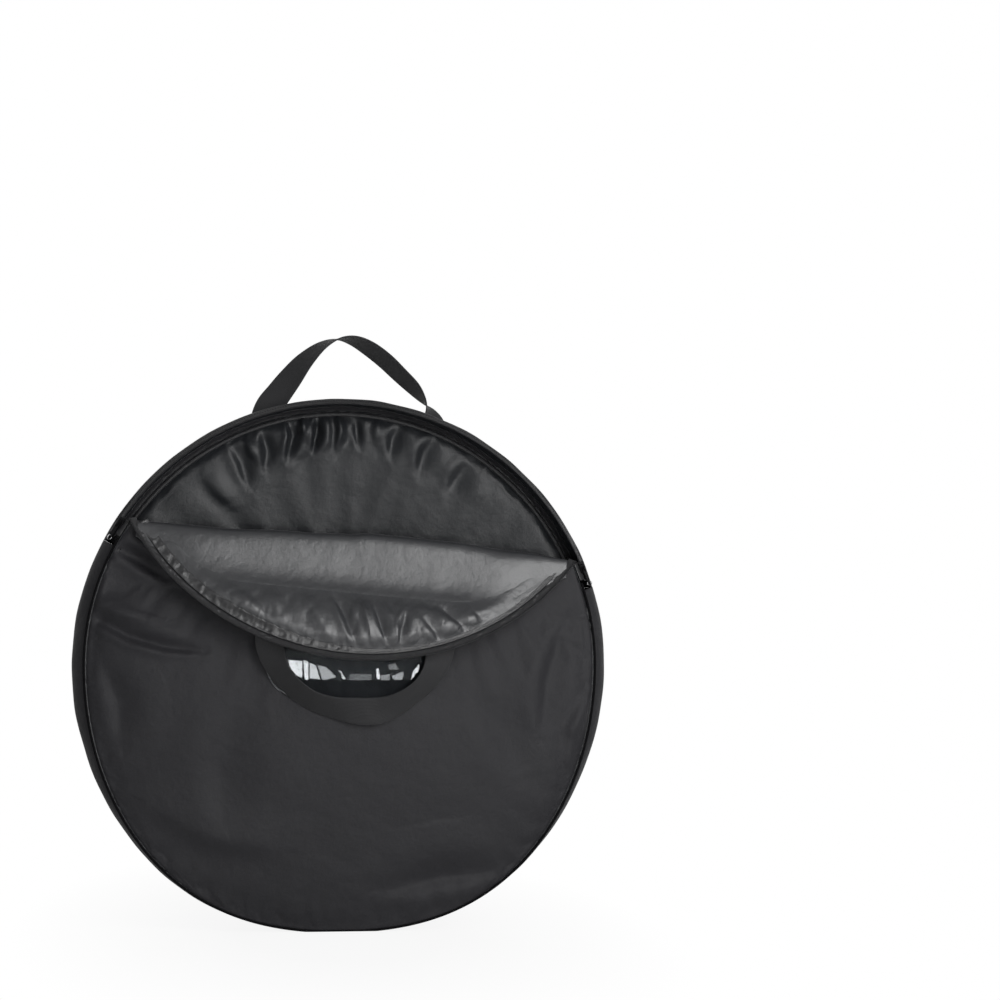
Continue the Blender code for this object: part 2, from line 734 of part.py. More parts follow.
def make_ring(name, pivot, place):
    bm = bmesh.new()
    bmesh.ops.create_circle(bm, cap_ends=False, segments=8, radius=RING_WIRE)
    bmesh.ops.translate(bm, vec=(RING_RADIUS, 0.0, 0.0), verts=bm.verts)
    bmesh.ops.rotate(bm, cent=(0, 0, 0), matrix=Matrix.Rotation(pi / 2, 3, "X"), verts=bm.verts)
    bmesh.ops.spin(
        bm, geom=bm.verts[:] + bm.edges[:], cent=(0, 0, 0), axis=(0, 0, 1),
        angle=2 * pi, steps=20, use_merge=True,
    )
    bmesh.ops.remove_doubles(bm, verts=bm.verts, dist=MERGE_DISTANCE)
    bmesh.ops.rotate(bm, cent=(0, 0, 0), matrix=Matrix.Rotation(pi / 2, 3, "X"), verts=bm.verts)
    bmesh.ops.translate(bm, vec=(place, 0.0, 0.0), verts=bm.verts)
    bmesh.ops.recalc_face_normals(bm, faces=bm.faces)
    new_object(name, bm, "ring_metal", pivot)


# Straps: a flat section carried along a smooth route, turning about it as the webbing twists


def blended(first, second, third, fourth, share):
    parts = []
    for a, b, c, d in zip(first, second, third, fourth):
        along = 2 * b + (c - a) * share + (2 * a - 5 * b + 4 * c - d) * share**2
        parts.append((along + (3 * b - a - 3 * c + d) * share**3) / 2)
    return parts


def smooth_route(points, steps):
    ends = [points[0]] + list(points) + [points[-1]]
    route = []
    for number in range(len(points) - 1):
        for step in range(steps):
            route.append(blended(*ends[number : number + 4], step / steps))
    route.append(list(points[-1]))
    return route


# In the strap's own frame X runs between its ends, Y is the depth, and Z points from the ends to the grip
def strap_mesh(shares, half_span, rise):
    route = smooth_route(shares, STRAP_STEPS)
    places = [Vector((line[0] * half_span, line[3] * STRAP_WIDTH, line[1] * rise)) for line in route]
    bm = bmesh.new()
    rings = []
    for number, place in enumerate(places):
        before = places[max(number - 1, 0)]
        after = places[min(number + 1, len(places) - 1)]
        tangent = (after - before).normalized()
        across = Vector((tangent.z, 0.0, -tangent.x)).normalized()
        # The ends stay level with the hinge line, as the sewn ends do
        end = min(number, len(places) - 1 - number) / (2 * STRAP_STEPS)
        level = Vector((1.0 if across.x > 0 else -1.0, 0.0, 0.0))
        across = level.lerp(across, smooth(end)).normalized()
        twist = radians(route[number][2])
        across = (across * cos(twist) + BACKWARDS * sin(twist)) * STRAP_WIDTH / 2
        through = across.cross(tangent).normalized() * STRAP / 2
        corners = (across + through, across - through, -across - through, -across + through)
        ring = [bm.verts.new(place + corner) for corner in corners]
        rings.append([bm.edges.new(pair) for pair in zip(ring, ring[1:] + ring[:1])])
    for first, second in zip(rings, rings[1:]):
        bmesh.ops.bridge_loops(bm, edges=first + second)
    bmesh.ops.holes_fill(bm, edges=bm.edges, sides=4)
    bmesh.ops.recalc_face_normals(bm, faces=bm.faces)
    return bm


# A piece sewn flat on a panel: an outline between a circle and a square, laid on the panel's face
def laid_sheet(centre, across, up, width, height, squareness, surface, rings):
    bm = turned_sheet([number / rings for number in range(rings + 1)], 0.0, 2 * pi, 32, True)

    def shape(share, angle):
        squared = (abs(cos(angle)) ** squareness + abs(sin(angle)) ** squareness) ** (-1 / squareness)
        place = centre + across * (share * squared * cos(angle) * width / 2)
        place = place + up * (share * squared * sin(angle) * height / 2)
        place.y = surface(place)
        return place

    shape_sheet(bm, shape, True)
    return bm


# The layer of something laid on a panel, with its outer face this high above the fabric
def laid_on(height):
    return lambda seam_distance: -height


def make_back_strap():
    turn = Matrix.Rotation(pi / 2 - BACK_STRAP_ANGLE, 4, "Y")
    across = turn @ Vector((1.0, 0.0, 0.0))
    up = turn @ UP

    def surface(place):
        return panel_depth(place, 1, BACK_SEAM_DROP, back_bulge, laid_on(GAP + STRAP))

    depths = []
    for name, side in (("left", -1), ("right", 1)):
        centre = up * (BACK_STRAP_REACH - STRAP_END_GAP - SEWN_END_LENGTH / 2)
        centre = centre + across * (side * BACK_STRAP_HALF_SPAN)
        sheet = laid_sheet(centre, across, up, STRAP_WIDTH, SEWN_END_LENGTH, PATCH_SQUARENESS, surface, 2)
        face_outwards(sheet, lambda place: BACKWARDS)
        thicken(new_object("back_strap_" + name + "_end", sheet, "webbing"), STRAP)
        inner_edge = side * (BACK_STRAP_HALF_SPAN - STRAP_WIDTH / 2)
        depths.append(surface(up * BACK_STRAP_REACH + across * inner_edge))
    # The strap turns about the rear edge of its sewn ends
    depth = max(depths) + GAP
    frame = Matrix.Translation(CENTRE + up * BACK_STRAP_REACH + BACKWARDS * depth) @ turn
    hinge = new_empty("back_strap_hinge", frame)
    bm = strap_mesh(BACK_STRAP_SHARES, BACK_STRAP_HALF_SPAN, BACK_STRAP_RISE)
    bmesh.ops.translate(bm, vec=(0.0, -(STRAP / 2 + GAP), STRAP_END_GAP), verts=bm.verts)
    new_object("back_strap", bm, "webbing", hinge)


def make_flap_strap():
    turn = Matrix.Rotation(pi / 2 - OPENING_ANGLE, 4, "Y")
    across = turn @ Vector((1.0, 0.0, 0.0))
    up = turn @ UP
    middle = up * FLAP_STRAP_REACH + across * FLAP_STRAP_OFFSET

    def surface(place):
        return panel_depth(place, -1, FLAP_SEAM_DROP, flap_bulge, laid_on(GAP + STRAP))

    depths = []
    for name, side in (("left", -1), ("right", 1)):
        shift = across * (side * FLAP_STRAP_HALF_SPAN)
        centre = middle + shift - up * (STRAP_END_GAP + SEWN_END_LENGTH / 2)
        sheet = laid_sheet(centre, across, up, STRAP_WIDTH, SEWN_END_LENGTH, PATCH_SQUARENESS, surface, 2)
        face_outwards(sheet, lambda place: -BACKWARDS)
        thicken(on_flap("flap_strap_" + name + "_end", sheet, "webbing"), STRAP)
        inner_edge = across * (side * (FLAP_STRAP_HALF_SPAN - STRAP_WIDTH / 2))
        depths.append(surface(middle + inner_edge))
    # It leaves the flap in line with its sewn ends, and hangs straight down or just clear of the front
    depth = min(depths) + STRAP / 2
    place = fold_frame().inverted() @ (middle + BACKWARDS * depth)
    hinge = new_empty("flap_strap_hinge", Matrix.Translation(place), FOLD_HINGE)
    world_depth = (fold_frame() @ Matrix.Rotation(fold_angle(), 4, "X") @ place).y
    short = world_depth + FRONT_SEAM_DEPTH + FRONT_BULGE + FLAP_STRAP_SPACE
    hang_lean = FLAP_LEAN - atan2(max(short, 0.0), FLAP_STRAP_RISE)
    hang = new_empty("flap_strap_hang", Matrix.Rotation(hang_lean, 4, "X"), hinge)
    bm = strap_mesh(FLAP_STRAP_SHARES, FLAP_STRAP_HALF_SPAN, FLAP_STRAP_RISE)
    bmesh.ops.translate(bm, vec=(0.0, 0.0, STRAP_END_GAP), verts=bm.verts)
    new_object("flap_strap", bm, "webbing", hang)


# The window is laid onto the panel as it is, so it follows every facet
def make_window():
    centre = Vector((WINDOW_RIGHT, 0.0, WINDOW_UP))

    def surface(place):
        return -FRONT_SEAM_DEPTH - 2 * FRONT_BULGE

    right_way = Vector((1.0, 0.0, 0.0))
    sheet = laid_sheet(centre, right_way, UP, WINDOW_WIDTH, WINDOW_HEIGHT, WINDOW_SQUARENESS, surface, 6)
    face_outwards(sheet, lambda place: -BACKWARDS)
    made = new_object("pocket_window", sheet, "clear_vinyl")
    lay = made.modifiers.new("lay", "SHRINKWRAP")
    lay.target = bpy.data.objects["front_outer_fabric"]
    lay.wrap_method = "PROJECT"
    lay.wrap_mode = "ABOVE_SURFACE"
    lay.use_project_y = True
    lay.use_positive_direction = True
    lay.use_negative_direction = False
    lay.offset = WINDOW_GAP + WINDOW_SHEET
    thicken(made, WINDOW_SHEET)


make_back_panel()
make_front_panel()
make_flap()
make_fold_roll()
make_edge_band()
make_seam_bindings()
make_rim_zip()
make_flap_zip()
make_zip_tails()
make_slider("left_slider", left(ZIP_HALF_ANGLE), -1)
make_slider("right_slider", right(ZIP_HALF_ANGLE), 1)
make_back_strap()
make_flap_strap()
make_window()
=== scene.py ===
from math import acos, asin, atan2, cos, exp, hypot, pi, radians, sin, sqrt, tan

import bmesh
import bpy
from mathutils import Matrix, Vector, noise
from mathutils.bvhtree import BVHTree


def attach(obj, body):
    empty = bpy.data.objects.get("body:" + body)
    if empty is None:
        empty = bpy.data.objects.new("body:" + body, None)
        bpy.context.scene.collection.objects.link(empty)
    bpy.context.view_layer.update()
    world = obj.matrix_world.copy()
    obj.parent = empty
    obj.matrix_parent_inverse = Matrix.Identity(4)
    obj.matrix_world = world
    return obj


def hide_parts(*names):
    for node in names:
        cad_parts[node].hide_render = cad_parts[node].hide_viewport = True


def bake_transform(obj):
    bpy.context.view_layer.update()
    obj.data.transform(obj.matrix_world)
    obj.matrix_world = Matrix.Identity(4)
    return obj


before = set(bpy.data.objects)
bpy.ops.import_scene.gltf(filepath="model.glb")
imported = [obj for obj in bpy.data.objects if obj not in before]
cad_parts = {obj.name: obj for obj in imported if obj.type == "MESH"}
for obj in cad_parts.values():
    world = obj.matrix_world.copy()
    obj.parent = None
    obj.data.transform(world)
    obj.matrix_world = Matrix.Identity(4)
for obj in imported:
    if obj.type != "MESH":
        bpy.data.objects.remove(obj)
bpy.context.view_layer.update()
print("frame loaded")

# The bag's own sizes, the same as in the solids (metres, angles as seen from the front)
bag = {
    "radius": 0.375, "centreHeight": 0.371, "slump": 0.008, "slumpPeak": 1.5, "bottomCrown": 0.2,
    "frontSeam": 0.027, "backSeam": 0.030, "frontDrop": 0.017, "backDrop": 0.014, "flapDrop": 0.024,
    "frontBulge": 0.028, "backBulge": 0.022, "flapBulge": 0.012, "flapRise": 0.080,
    "openingAngle": radians(84.5), "zipHalf": radians(62.5), "tailLength": 0.0175, "bandOverlap": 0.015,
    "zipDepth": 0.0195, "tape": 0.0008, "foldRise": 0.010, "foldTurn": radians(156),
}
centre = Vector((0.0, 0.0, bag["centreHeight"]))
across = Vector((1.0, 0.0, 0.0))
backwards = Vector((0.0, 1.0, 0.0))
upwards = Vector((0.0, 0.0, 1.0))


def smooth(share):
    share = min(max(share, 0.0), 1.0)
    return share * share * (3.0 - 2.0 * share)


def mix(a, b, share):
    return a + (b - a) * share


def rimRadius(angle):
    share = asin(min(max(-sin(angle), 0.0), 1.0)) / (pi / 2)
    return bag["radius"] + bag["slump"] * sin(pi * share ** bag["slumpPeak"]) ** 2


def crownShare(angle):
    return 1.0 - (1.0 - bag["bottomCrown"]) * smooth(max(-sin(angle), 0.0))


def crownDrop(depth):
    if depth < 0:
        return bag["frontDrop"] * (depth / bag["frontSeam"]) ** 2
    return bag["backDrop"] * (depth / bag["backSeam"]) ** 2


def rimPoint(angle, depth, drop, inset=0.0):
    radius = rimRadius(angle) - drop * crownShare(angle) - inset
    return Vector((radius * cos(angle), depth, max(radius * sin(angle), inset - bag["centreHeight"])))


def seamRadius(angle, drop):
    return rimRadius(angle) - drop * crownShare(angle)


def seamGap(x, z, drop):  # about the bag's middle: the angle, and how far it is to the seam
    angle = atan2(z, x)
    return angle, seamRadius(angle, drop) - hypot(x, z)


opening = Vector((cos(bag["openingAngle"]), 0.0, sin(bag["openingAngle"])))
foldReach = (bag["radius"] - crownDrop(-bag["zipDepth"])) * cos(bag["zipHalf"]) + bag["foldRise"]
foldFrame = Matrix.Translation(opening * foldReach - backwards * (bag["frontSeam"] + 0.0003))
foldFrame = foldFrame @ Matrix.Rotation(pi / 2 - bag["openingAngle"], 4, "Y")
flapTurn = foldFrame @ Matrix.Rotation(bag["foldTurn"], 4, "X") @ foldFrame.inverted()
tailHalf = bag["zipHalf"] + bag["tailLength"] / bag["radius"]
bandHalf = tailHalf + bag["bandOverlap"] / bag["radius"]
toWorld = Matrix.Translation(centre)
foldPlace = toWorld @ foldFrame.translation
flapRest = toWorld @ flapTurn
flapClosed = flapRest.inverted()


def leftOf(half):
    return bag["openingAngle"] + half


def rightOf(half):
    return bag["openingAngle"] - half


def waver(x, y=0.0, z=0.0):  # smooth noise from -1 to 1
    return noise.noise(Vector((x, y, z)))


# Shader maths written as sums: a wire is one output socket
class Wire:
    def __init__(self, finish, socket):
        self.finish = finish
        self.socket = socket

    def calculate(self, operation, *values):
        return self.finish.add("ShaderNodeMath", {"operation": operation}, dict(enumerate(values)))

    def __add__(self, other):
        return self.calculate("ADD", self, other)

    def __rsub__(self, other):
        return self.calculate("SUBTRACT", other, self)

    def __mul__(self, other):
        return self.calculate("MULTIPLY", self, other)

    def __pow__(self, other):
        return self.calculate("POWER", self, other)

    def wave(self):
        return self.calculate("SINE", self)

    def clamped(self):
        return self.finish.add("ShaderNodeClamp", {}, {0: self})

    __radd__ = __add__
    __rmul__ = __mul__


class Nodes:
    def __init__(self, tree):
        self.tree = tree

    # One way for every node: its type, its settings, its sockets, and the output that is wanted
    def add(self, kind, settings=None, sockets=None, wanted=0):
        made = self.tree.nodes.new(kind)
        for key, value in (settings or {}).items():
            setattr(made, key, value)
        for key, value in (sockets or {}).items():
            if isinstance(value, Wire):
                self.tree.links.new(value.socket, made.inputs[key])
            else:
                made.inputs[key].default_value = value
        return Wire(self, made.outputs[wanted])

    def axes(self, vector):
        return [self.add("ShaderNodeSeparateXYZ", {}, {0: vector}, wanted) for wanted in range(3)]

    def ranged(self, value, start, end, low=0.0, high=1.0):
        return self.add("ShaderNodeMapRange", {}, {0: value, 1: start, 2: end, 3: low, 4: high})

    # Shows the first shader where the factor is 0, and the second where it is 1
    def output(self, name, factor, first, second):
        mixed = self.add("ShaderNodeMixShader", {}, {0: factor, 1: first, 2: second})
        self.tree.links.new(mixed.socket, self.tree.nodes[name].inputs["Surface"])


class Finish(Nodes):
    def __init__(self, name, fixed):
        self.material = bpy.data.materials.new(name)
        self.material.use_nodes = True
        super().__init__(self.material.node_tree)
        self.shader = self.tree.nodes["Principled BSDF"]
        for key, value in fixed.items():
            self.shader.inputs[key].default_value = value

    def place(self, uv=None):
        if uv:
            return self.add("ShaderNodeUVMap", {"uv_map": uv})
        return self.add("ShaderNodeTexCoord", wanted="Object")

    def noise(self, vector, scale, detail=3.0, roughness=0.55):
        sockets = {"Vector": vector, "Scale": scale, "Detail": detail, "Roughness": roughness}
        return self.add("ShaderNodeTexNoise", {}, sockets)

    # Colours are given as three numbers or as a wire
    def blend(self, factor, *colours):
        first, second = [colour if isinstance(colour, Wire) else (*colour, 1.0) for colour in colours]
        return self.add("ShaderNodeMix", {"data_type": "RGBA"}, {0: factor, 6: first, 7: second}, 2)

    def bump(self, height, distance, strength=1.0, under=None):
        sockets = {"Height": height, "Distance": distance, "Strength": strength}
        if under:
            sockets["Normal"] = under
        return self.add("ShaderNodeBump", {}, sockets)

    def connect(self, roughness, normal, colour=None):
        for key, value in (("Base Color", colour), ("Roughness", roughness), ("Normal", normal)):
            if value:
                self.tree.links.new(value.socket, self.shader.inputs[key])
        return self.material


# Plain weave: threads over and under each other, as a height from 0 to 1
def weave(along, over, pitch):
    return ((along * (pi / pitch)).wave() * (over * (pi / pitch)).wave()) * 0.5 + 0.5


def ribbed(across, pitch):  # ribs as a height from 0 to 1
    return (across * (2 * pi / pitch)).wave() * 0.5 + 0.5


def clothFinish(name, sheen, sheenRoughness, gloss):
    return Finish(name, {"Sheen Weight": sheen, "Sheen Roughness": sheenRoughness, "Specular IOR Level": gloss})


outerLook = {
    "colour": (0.037, 0.0365, 0.0425), "worn": (0.052, 0.051, 0.058), "hollowShade": 0.72, "thread": 0.0007,
    "rumple": 0.0036, "weave": 0.00022, "roughness": 0.50,
}


def makeOuterCloth(name, darker):
    finish = clothFinish(name, 0.08, 0.45, 0.28)
    place = finish.place()
    x, y, z = finish.axes(place)
    threads = weave(x + y * 0.5, z, outerLook["thread"])
    patches = finish.noise(place, 9.0, 4.0)
    fine = finish.noise(place, 900.0, 2.0)
    colour, worn = [tuple(value * darker for value in outerLook[key]) for key in ("colour", "worn")]
    base = finish.blend(finish.ranged(patches, 0.35, 0.7, 0.0, 0.55), colour, worn)
    # Painted shade: the weave's hollows are darker
    base = finish.blend((1 - threads) * 0.35, base, tuple(value * outerLook["hollowShade"] for value in colour))
    soft = finish.bump(finish.noise(place, 26.0, 4.0, 0.6), outerLook["rumple"], 0.7)
    cloth = finish.bump(threads + fine * 0.4, outerLook["weave"], 0.55, soft)
    return finish.connect((patches * 0.14) + outerLook["roughness"], cloth, base)


liningLook = {"thread": 0.00045, "rumple": 0.0022, "weave": 0.00012, "roughness": 0.31}


def makeLining(name, colour, deep, gloss):
    finish = clothFinish(name, 0.05, 0.3, gloss)
    place = finish.place()
    x, y, z = finish.axes(place)
    threads = weave(x + y * 0.5, z, liningLook["thread"])
    patches = finish.noise(place, 12.0, 4.0)
    rumple = finish.noise(place, 34.0, 5.0, 0.62)
    broad = finish.noise(place, 11.0, 3.0)
    soft = finish.bump(rumple + broad * 2.4, liningLook["rumple"], 0.6)
    cloth = finish.bump(threads, liningLook["weave"], 0.4, soft)
    base = finish.blend(patches * 0.8, colour, deep)
    return finish.connect((patches * 0.14) + liningLook["roughness"], cloth, base)


webbingLook = {
    "colour": (0.028, 0.028, 0.030), "low": (0.012, 0.012, 0.013), "fuzz": (0.06, 0.06, 0.062), "rib": 0.0021,
    "pick": 0.0011, "weave": 0.00035, "roughness": 0.58,
}


# Webbing and tape patterns follow the piece's own map, which is in metres along and across it
def makeWebbing():
    finish = clothFinish("webbing", 0.10, 0.4, 0.28)
    place = finish.place(uv="cloth")
    along, over, _ = finish.axes(place)
    shift = (over * (pi / webbingLook["rib"])).wave() * 1.4
    picks = (along * (2 * pi / webbingLook["pick"]) + shift).wave() * 0.5 + 0.5
    height = ribbed(over, webbingLook["rib"]) * 0.65 + picks * 0.35
    fuzz = finish.noise(place, 1400.0, 2.0)
    # Painted shade: the grooves between the ribs are darker
    base = finish.blend(height, webbingLook["low"], webbingLook["colour"])
    base = finish.blend(fuzz * 0.25, base, webbingLook["fuzz"])
    cloth = finish.bump(height + fuzz * 0.3, webbingLook["weave"], 0.8)
    return finish.connect((fuzz * 0.15) + webbingLook["roughness"], cloth, base)


tapeLook = {"rib": 0.0012, "pick": 0.0009, "hollowShade": 0.45, "rumple": 0.0012, "weave": 0.0002, "roughness": 0.27}


def makeTape(name, colour, gloss):
    finish = clothFinish(name, 0.08, 0.4, gloss)
    place = finish.place(uv="cloth")
    along, over, _ = finish.axes(place)
    height = ribbed(over, tapeLook["rib"]) * 0.6 + ribbed(along, tapeLook["pick"]) * 0.4
    rumple = finish.noise(place, 160.0, 3.0)
    # Painted shade: darker in the hollows of the ribs and of the rumples
    base = finish.blend(height * 0.6 + rumple * 0.3, tuple(value * tapeLook["hollowShade"] for value in colour), colour)
    soft = finish.bump(rumple, tapeLook["rumple"], 0.6)
    cloth = finish.bump(height, tapeLook["weave"], 0.6, soft)
    return finish.connect((rumple * 0.25) + tapeLook["roughness"], cloth, base)


def makeNylon(name, colour, roughness, gloss=0.5):
    finish = Finish(name, {"Specular IOR Level": gloss})
    wear = finish.noise(finish.place(), 420.0, 3.0)
    base = finish.blend(wear * 0.5, colour, tuple(value * 1.8 for value in colour))
    return finish.connect((wear * 0.2) + roughness, finish.bump(wear, 0.0001, 0.3), base)


def makeMetal(name, colour, bare, roughness, wearFrom):
    finish = Finish(name, {"Metallic": 1.0})
    wear = finish.noise(finish.place(), 700.0, 4.0, 0.7)
    base = finish.blend(finish.ranged(wear, wearFrom, wearFrom + 0.12), colour, bare)
    return finish.connect((wear * 0.25) + roughness, finish.bump(wear, 0.00006, 0.35), base)


# Clear film shows what lies under it. How strongly it mirrors the lamps is painted: a map of painted glints sets it
# place by place
def makeVinyl():
    finish = Finish("clearVinyl", {"Base Color": (0.9, 0.92, 0.94, 1.0), "Metallic": 1.0})
    place = finish.place()
    soft = finish.bump(finish.noise(place, 120.0, 2.0), 0.0002, 0.5)
    finish.connect((finish.noise(place, 14.0, 3.0) * 0.06) + 0.03, soft)
    # Seen through, the film dims what lies under it: partly the film's own tint, partly painted shade
    clear = finish.add("ShaderNodeBsdfTransparent", {}, {"Color": (0.78, 0.80, 0.81, 1.0)})
    edge = finish.add("ShaderNodeFresnel", {}, {"IOR": 1.5, "Normal": soft})
    paintedGlint = finish.axes(finish.place(uv="paintedGlint"))[0]
    gloss = Wire(finish, finish.shader.outputs[0])
    finish.output("Material Output", (edge * paintedGlint * 2.8).clamped(), clear, gloss)
    return finish.material


looks = {
    "outer": makeOuterCloth("outerCloth", 0.44),
    # The band's cloth: a darker copy of the outer cloth, painted shade for the band that turns away from the lamps
    "edge": makeOuterCloth("shadedEdgeCloth", 0.38),
    # Two copies of one lining cloth: the flap's, and a darker, less glossy one that paints the shade inside the bag
    "flapLining": makeLining("flapLining", (0.030, 0.031, 0.034), (0.022, 0.023, 0.0256), 1.0),
    "lining": makeLining("lining", (0.014, 0.0152, 0.0173), (0.0082, 0.0092, 0.0108), 0.34),
    "webbing": makeWebbing(),
    "tape": makeTape("zipTape", (0.028, 0.028, 0.030), 0.8),
    "binding": makeTape("binding", (0.014, 0.014, 0.016), 0.3),
    # Near-black finish for the cord in the front seam: painted shade of the seam's groove
    "seam": makeNylon("seam", (0.004, 0.004, 0.0045), 0.8, 0.05),
    "nylon": makeNylon("zipNylon", (0.018, 0.018, 0.020), 0.30),
    "thread": makeNylon("thread", (0.026, 0.026, 0.028), 0.82, 0.05),
    "blackMetal": makeMetal("blackMetal", (0.030, 0.030, 0.032), (0.35, 0.35, 0.36), 0.28, 0.66),
    "plated": makeMetal("platedWire", (0.72, 0.72, 0.73), (0.45, 0.44, 0.43), 0.14, 0.62),
    "vinyl": makeVinyl(),
}
print("materials made")


def newObject(name, data):
    made = bpy.data.objects.new(name, data)
    bpy.context.scene.collection.objects.link(made)
    return made


def finishPiece(name, bm, materials, body, replaced, closed=True):
    if closed:
        bmesh.ops.recalc_face_normals(bm, faces=bm.faces)
    mesh = bpy.data.meshes.new(name)
    bm.to_mesh(mesh)
    bm.free()
    mesh.shade_smooth()
    for key in materials:
        mesh.materials.append(looks[key])
    piece = newObject(name, mesh)
    if body:
        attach(piece, body)
    if replaced:
        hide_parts(*replaced)
    return piece


# A strip as a grid: place gives the position from the shares along and across it.
# Its map "cloth" is in metres, from the strip's real length and width.
def strip(alongCount, acrossCount, length, width, place):
    bm = bmesh.new()
    cloth = bm.loops.layers.uv.new("cloth")
    bmesh.ops.create_grid(bm, x_segments=alongCount, y_segments=acrossCount, size=0.5)
    for face in bm.faces:
        for loop in face.loops:
            loop[cloth].uv = ((loop.vert.co.x + 0.5) * length, (loop.vert.co.y + 0.5) * width)
    for corner in bm.verts:
        corner.co = place(corner.co.x + 0.5, corner.co.y + 0.5)
    return bm


def faceOut(bm, outward):
    bm.normal_update()
    facing = sum(face.normal.dot(outward(face.calc_center_median())) * face.calc_area() for face in bm.faces)
    if facing < 0:
        bmesh.ops.reverse_faces(bm, faces=bm.faces[:])
        bm.normal_update()


def addShell(piece, thickness, offset=-1.0):
    shell = piece.modifiers.new("thickness", "SOLIDIFY")
    shell.thickness = thickness
    shell.offset = offset


def refine(piece):
    fine = piece.modifiers.new("fine", "SUBSURF")
    fine.levels = fine.render_levels = 1


# Writes the piece's modifiers into its mesh
def settle(piece):
    bpy.context.view_layer.update()
    graph = bpy.context.evaluated_depsgraph_get()
    mesh = bpy.data.meshes.new_from_object(piece.evaluated_get(graph))
    piece.modifiers.clear()
    old = piece.data
    piece.data = mesh
    bpy.data.meshes.remove(old)


# The padded panels: how thick they are at the seam and inside, and how the cloth is blown up
padding = {
    "edge": 0.0016, "full": 0.0072, "share": 0.8, "foldThin": 0.25, "grow": 0.022, "bending": 1.2, "pressure": 3.0,
    "cap": 0.007, "frames": 18,
}


def padThickness(seamDistance):
    return mix(padding["edge"], padding["full"], smooth(seamDistance / 0.024))


def foldThin(place):  # the pads run thin where they meet at the fold
    return mix(padding["foldThin"], 1.0, smooth((abs(place.dot(opening) - foldReach) - 0.006) / 0.034))


def panelDepth(place, drop, seamDepth, bulge, side):
    seam = seamRadius(atan2(place.z, place.x), drop)
    radius = hypot(place.x, place.z)
    return side * (seamDepth + bulge(min(radius / seam, 1.0), place.dot(opening)))


def frontBulge(share, height):
    return bag["frontBulge"] * (1.0 - share**2) * smooth((foldReach - height) / foldReach)


def flapBulge(share, height):
    return bag["flapBulge"] * (1.0 - share**2) * smooth((height - foldReach) / bag["flapRise"])


def backBulge(share, height):
    return bag["backBulge"] * (1.0 - share**2)


# One face of a pad: a square grid drawn out to the round outline, and cut along the fold
def padFace(count, drop, seamDepth, bulge, side, keep):
    bm = bmesh.new()
    bmesh.ops.create_grid(bm, x_segments=count, y_segments=count, size=1.0)
    for corner in bm.verts:
        x, y, _ = corner.co
        u = x * sqrt(1 - y * y / 2)
        v = y * sqrt(1 - x * x / 2)
        angle = atan2(v, u)
        radius = min(hypot(u, v), 1.0) * (seamRadius(angle, drop) - 0.0004)
        floor = 0.0006 - bag["centreHeight"]
        corner.co = Vector((radius * cos(angle), 0.0, max(radius * sin(angle), floor)))
    if keep:
        bmesh.ops.bisect_plane(
            bm, geom=bm.verts[:] + bm.edges[:] + bm.faces[:], clear_inner=True,
            plane_co=opening * (foldReach + keep * 0.0067), plane_no=opening * keep,
        )
        bmesh.ops.remove_doubles(bm, verts=bm.verts, dist=0.0012)
    for corner in bm.verts:
        corner.co.y = panelDepth(corner.co, drop, seamDepth, bulge, side)
    return bm


# Two faces joined round their edge. Material 0 is the outside, 1 the lining.
def padMesh(count, drop, seamDepth, bulge, side, keep):
    bm = padFace(count, drop, seamDepth, bulge, side, keep)
    copied = bmesh.ops.duplicate(bm, geom=bm.verts[:] + bm.edges[:] + bm.faces[:])["geom"]
    inner = [item for item in copied if isinstance(item, bmesh.types.BMVert)]
    for corner in inner:
        thin = foldThin(corner.co) if keep else 1.0
        corner.co.y -= side * padThickness(seamGap(corner.co.x, corner.co.z, drop)[1]) * padding["share"] * thin
    for face in (item for item in copied if isinstance(item, bmesh.types.BMFace)):
        face.material_index = 1
    edges = [edge for edge in bm.edges if edge.is_boundary]
    bmesh.ops.bridge_loops(bm, edges=edges)
    bmesh.ops.recalc_face_normals(bm, faces=bm.faces)
    return bm


# Blows the pad up with cloth that is a little too large for its outline, so that it wrinkles at the seams
def puff(piece, held, settings):
    group = piece.vertex_groups.new(name="held")
    for index, weight in held.items():
        group.add([index], weight, "REPLACE")
    start = [corner.co.copy() for corner in piece.data.vertices]
    cloth = piece.modifiers.new("cloth", "CLOTH")
    chosen = {
        "quality": 5, "mass": 0.25, "tension_stiffness": 18, "compression_stiffness": 18, "shear_stiffness": 6,
        "bending_stiffness": settings["bending"], "shrink_min": -settings["grow"], "vertex_group_mass": "held",
        "use_pressure": True, "uniform_pressure_force": settings["pressure"],
    }
    for key, value in chosen.items():
        setattr(cloth.settings, key, value)
    cloth.settings.effector_weights.gravity = 0.0
    cloth.collision_settings.use_collision = False
    cloth.point_cache.frame_start = 1
    cloth.point_cache.frame_end = settings["frames"]
    scene = bpy.context.scene
    for number in range(1, settings["frames"] + 1):
        scene.frame_set(number)
    graph = bpy.context.evaluated_depsgraph_get()
    moved = piece.evaluated_get(graph).to_mesh()
    places = [corner.co.copy() for corner in moved.vertices]
    piece.evaluated_get(graph).to_mesh_clear()
    piece.modifiers.remove(cloth)
    scene.frame_set(1)
    for corner, old, new in zip(piece.data.vertices, start, places):
        step = new - old
        length = step.length
        if length > 0:
            step *= settings["cap"] * (1.0 - exp(-length / settings["cap"])) / length
        corner.co = old + step
    piece.data.update()


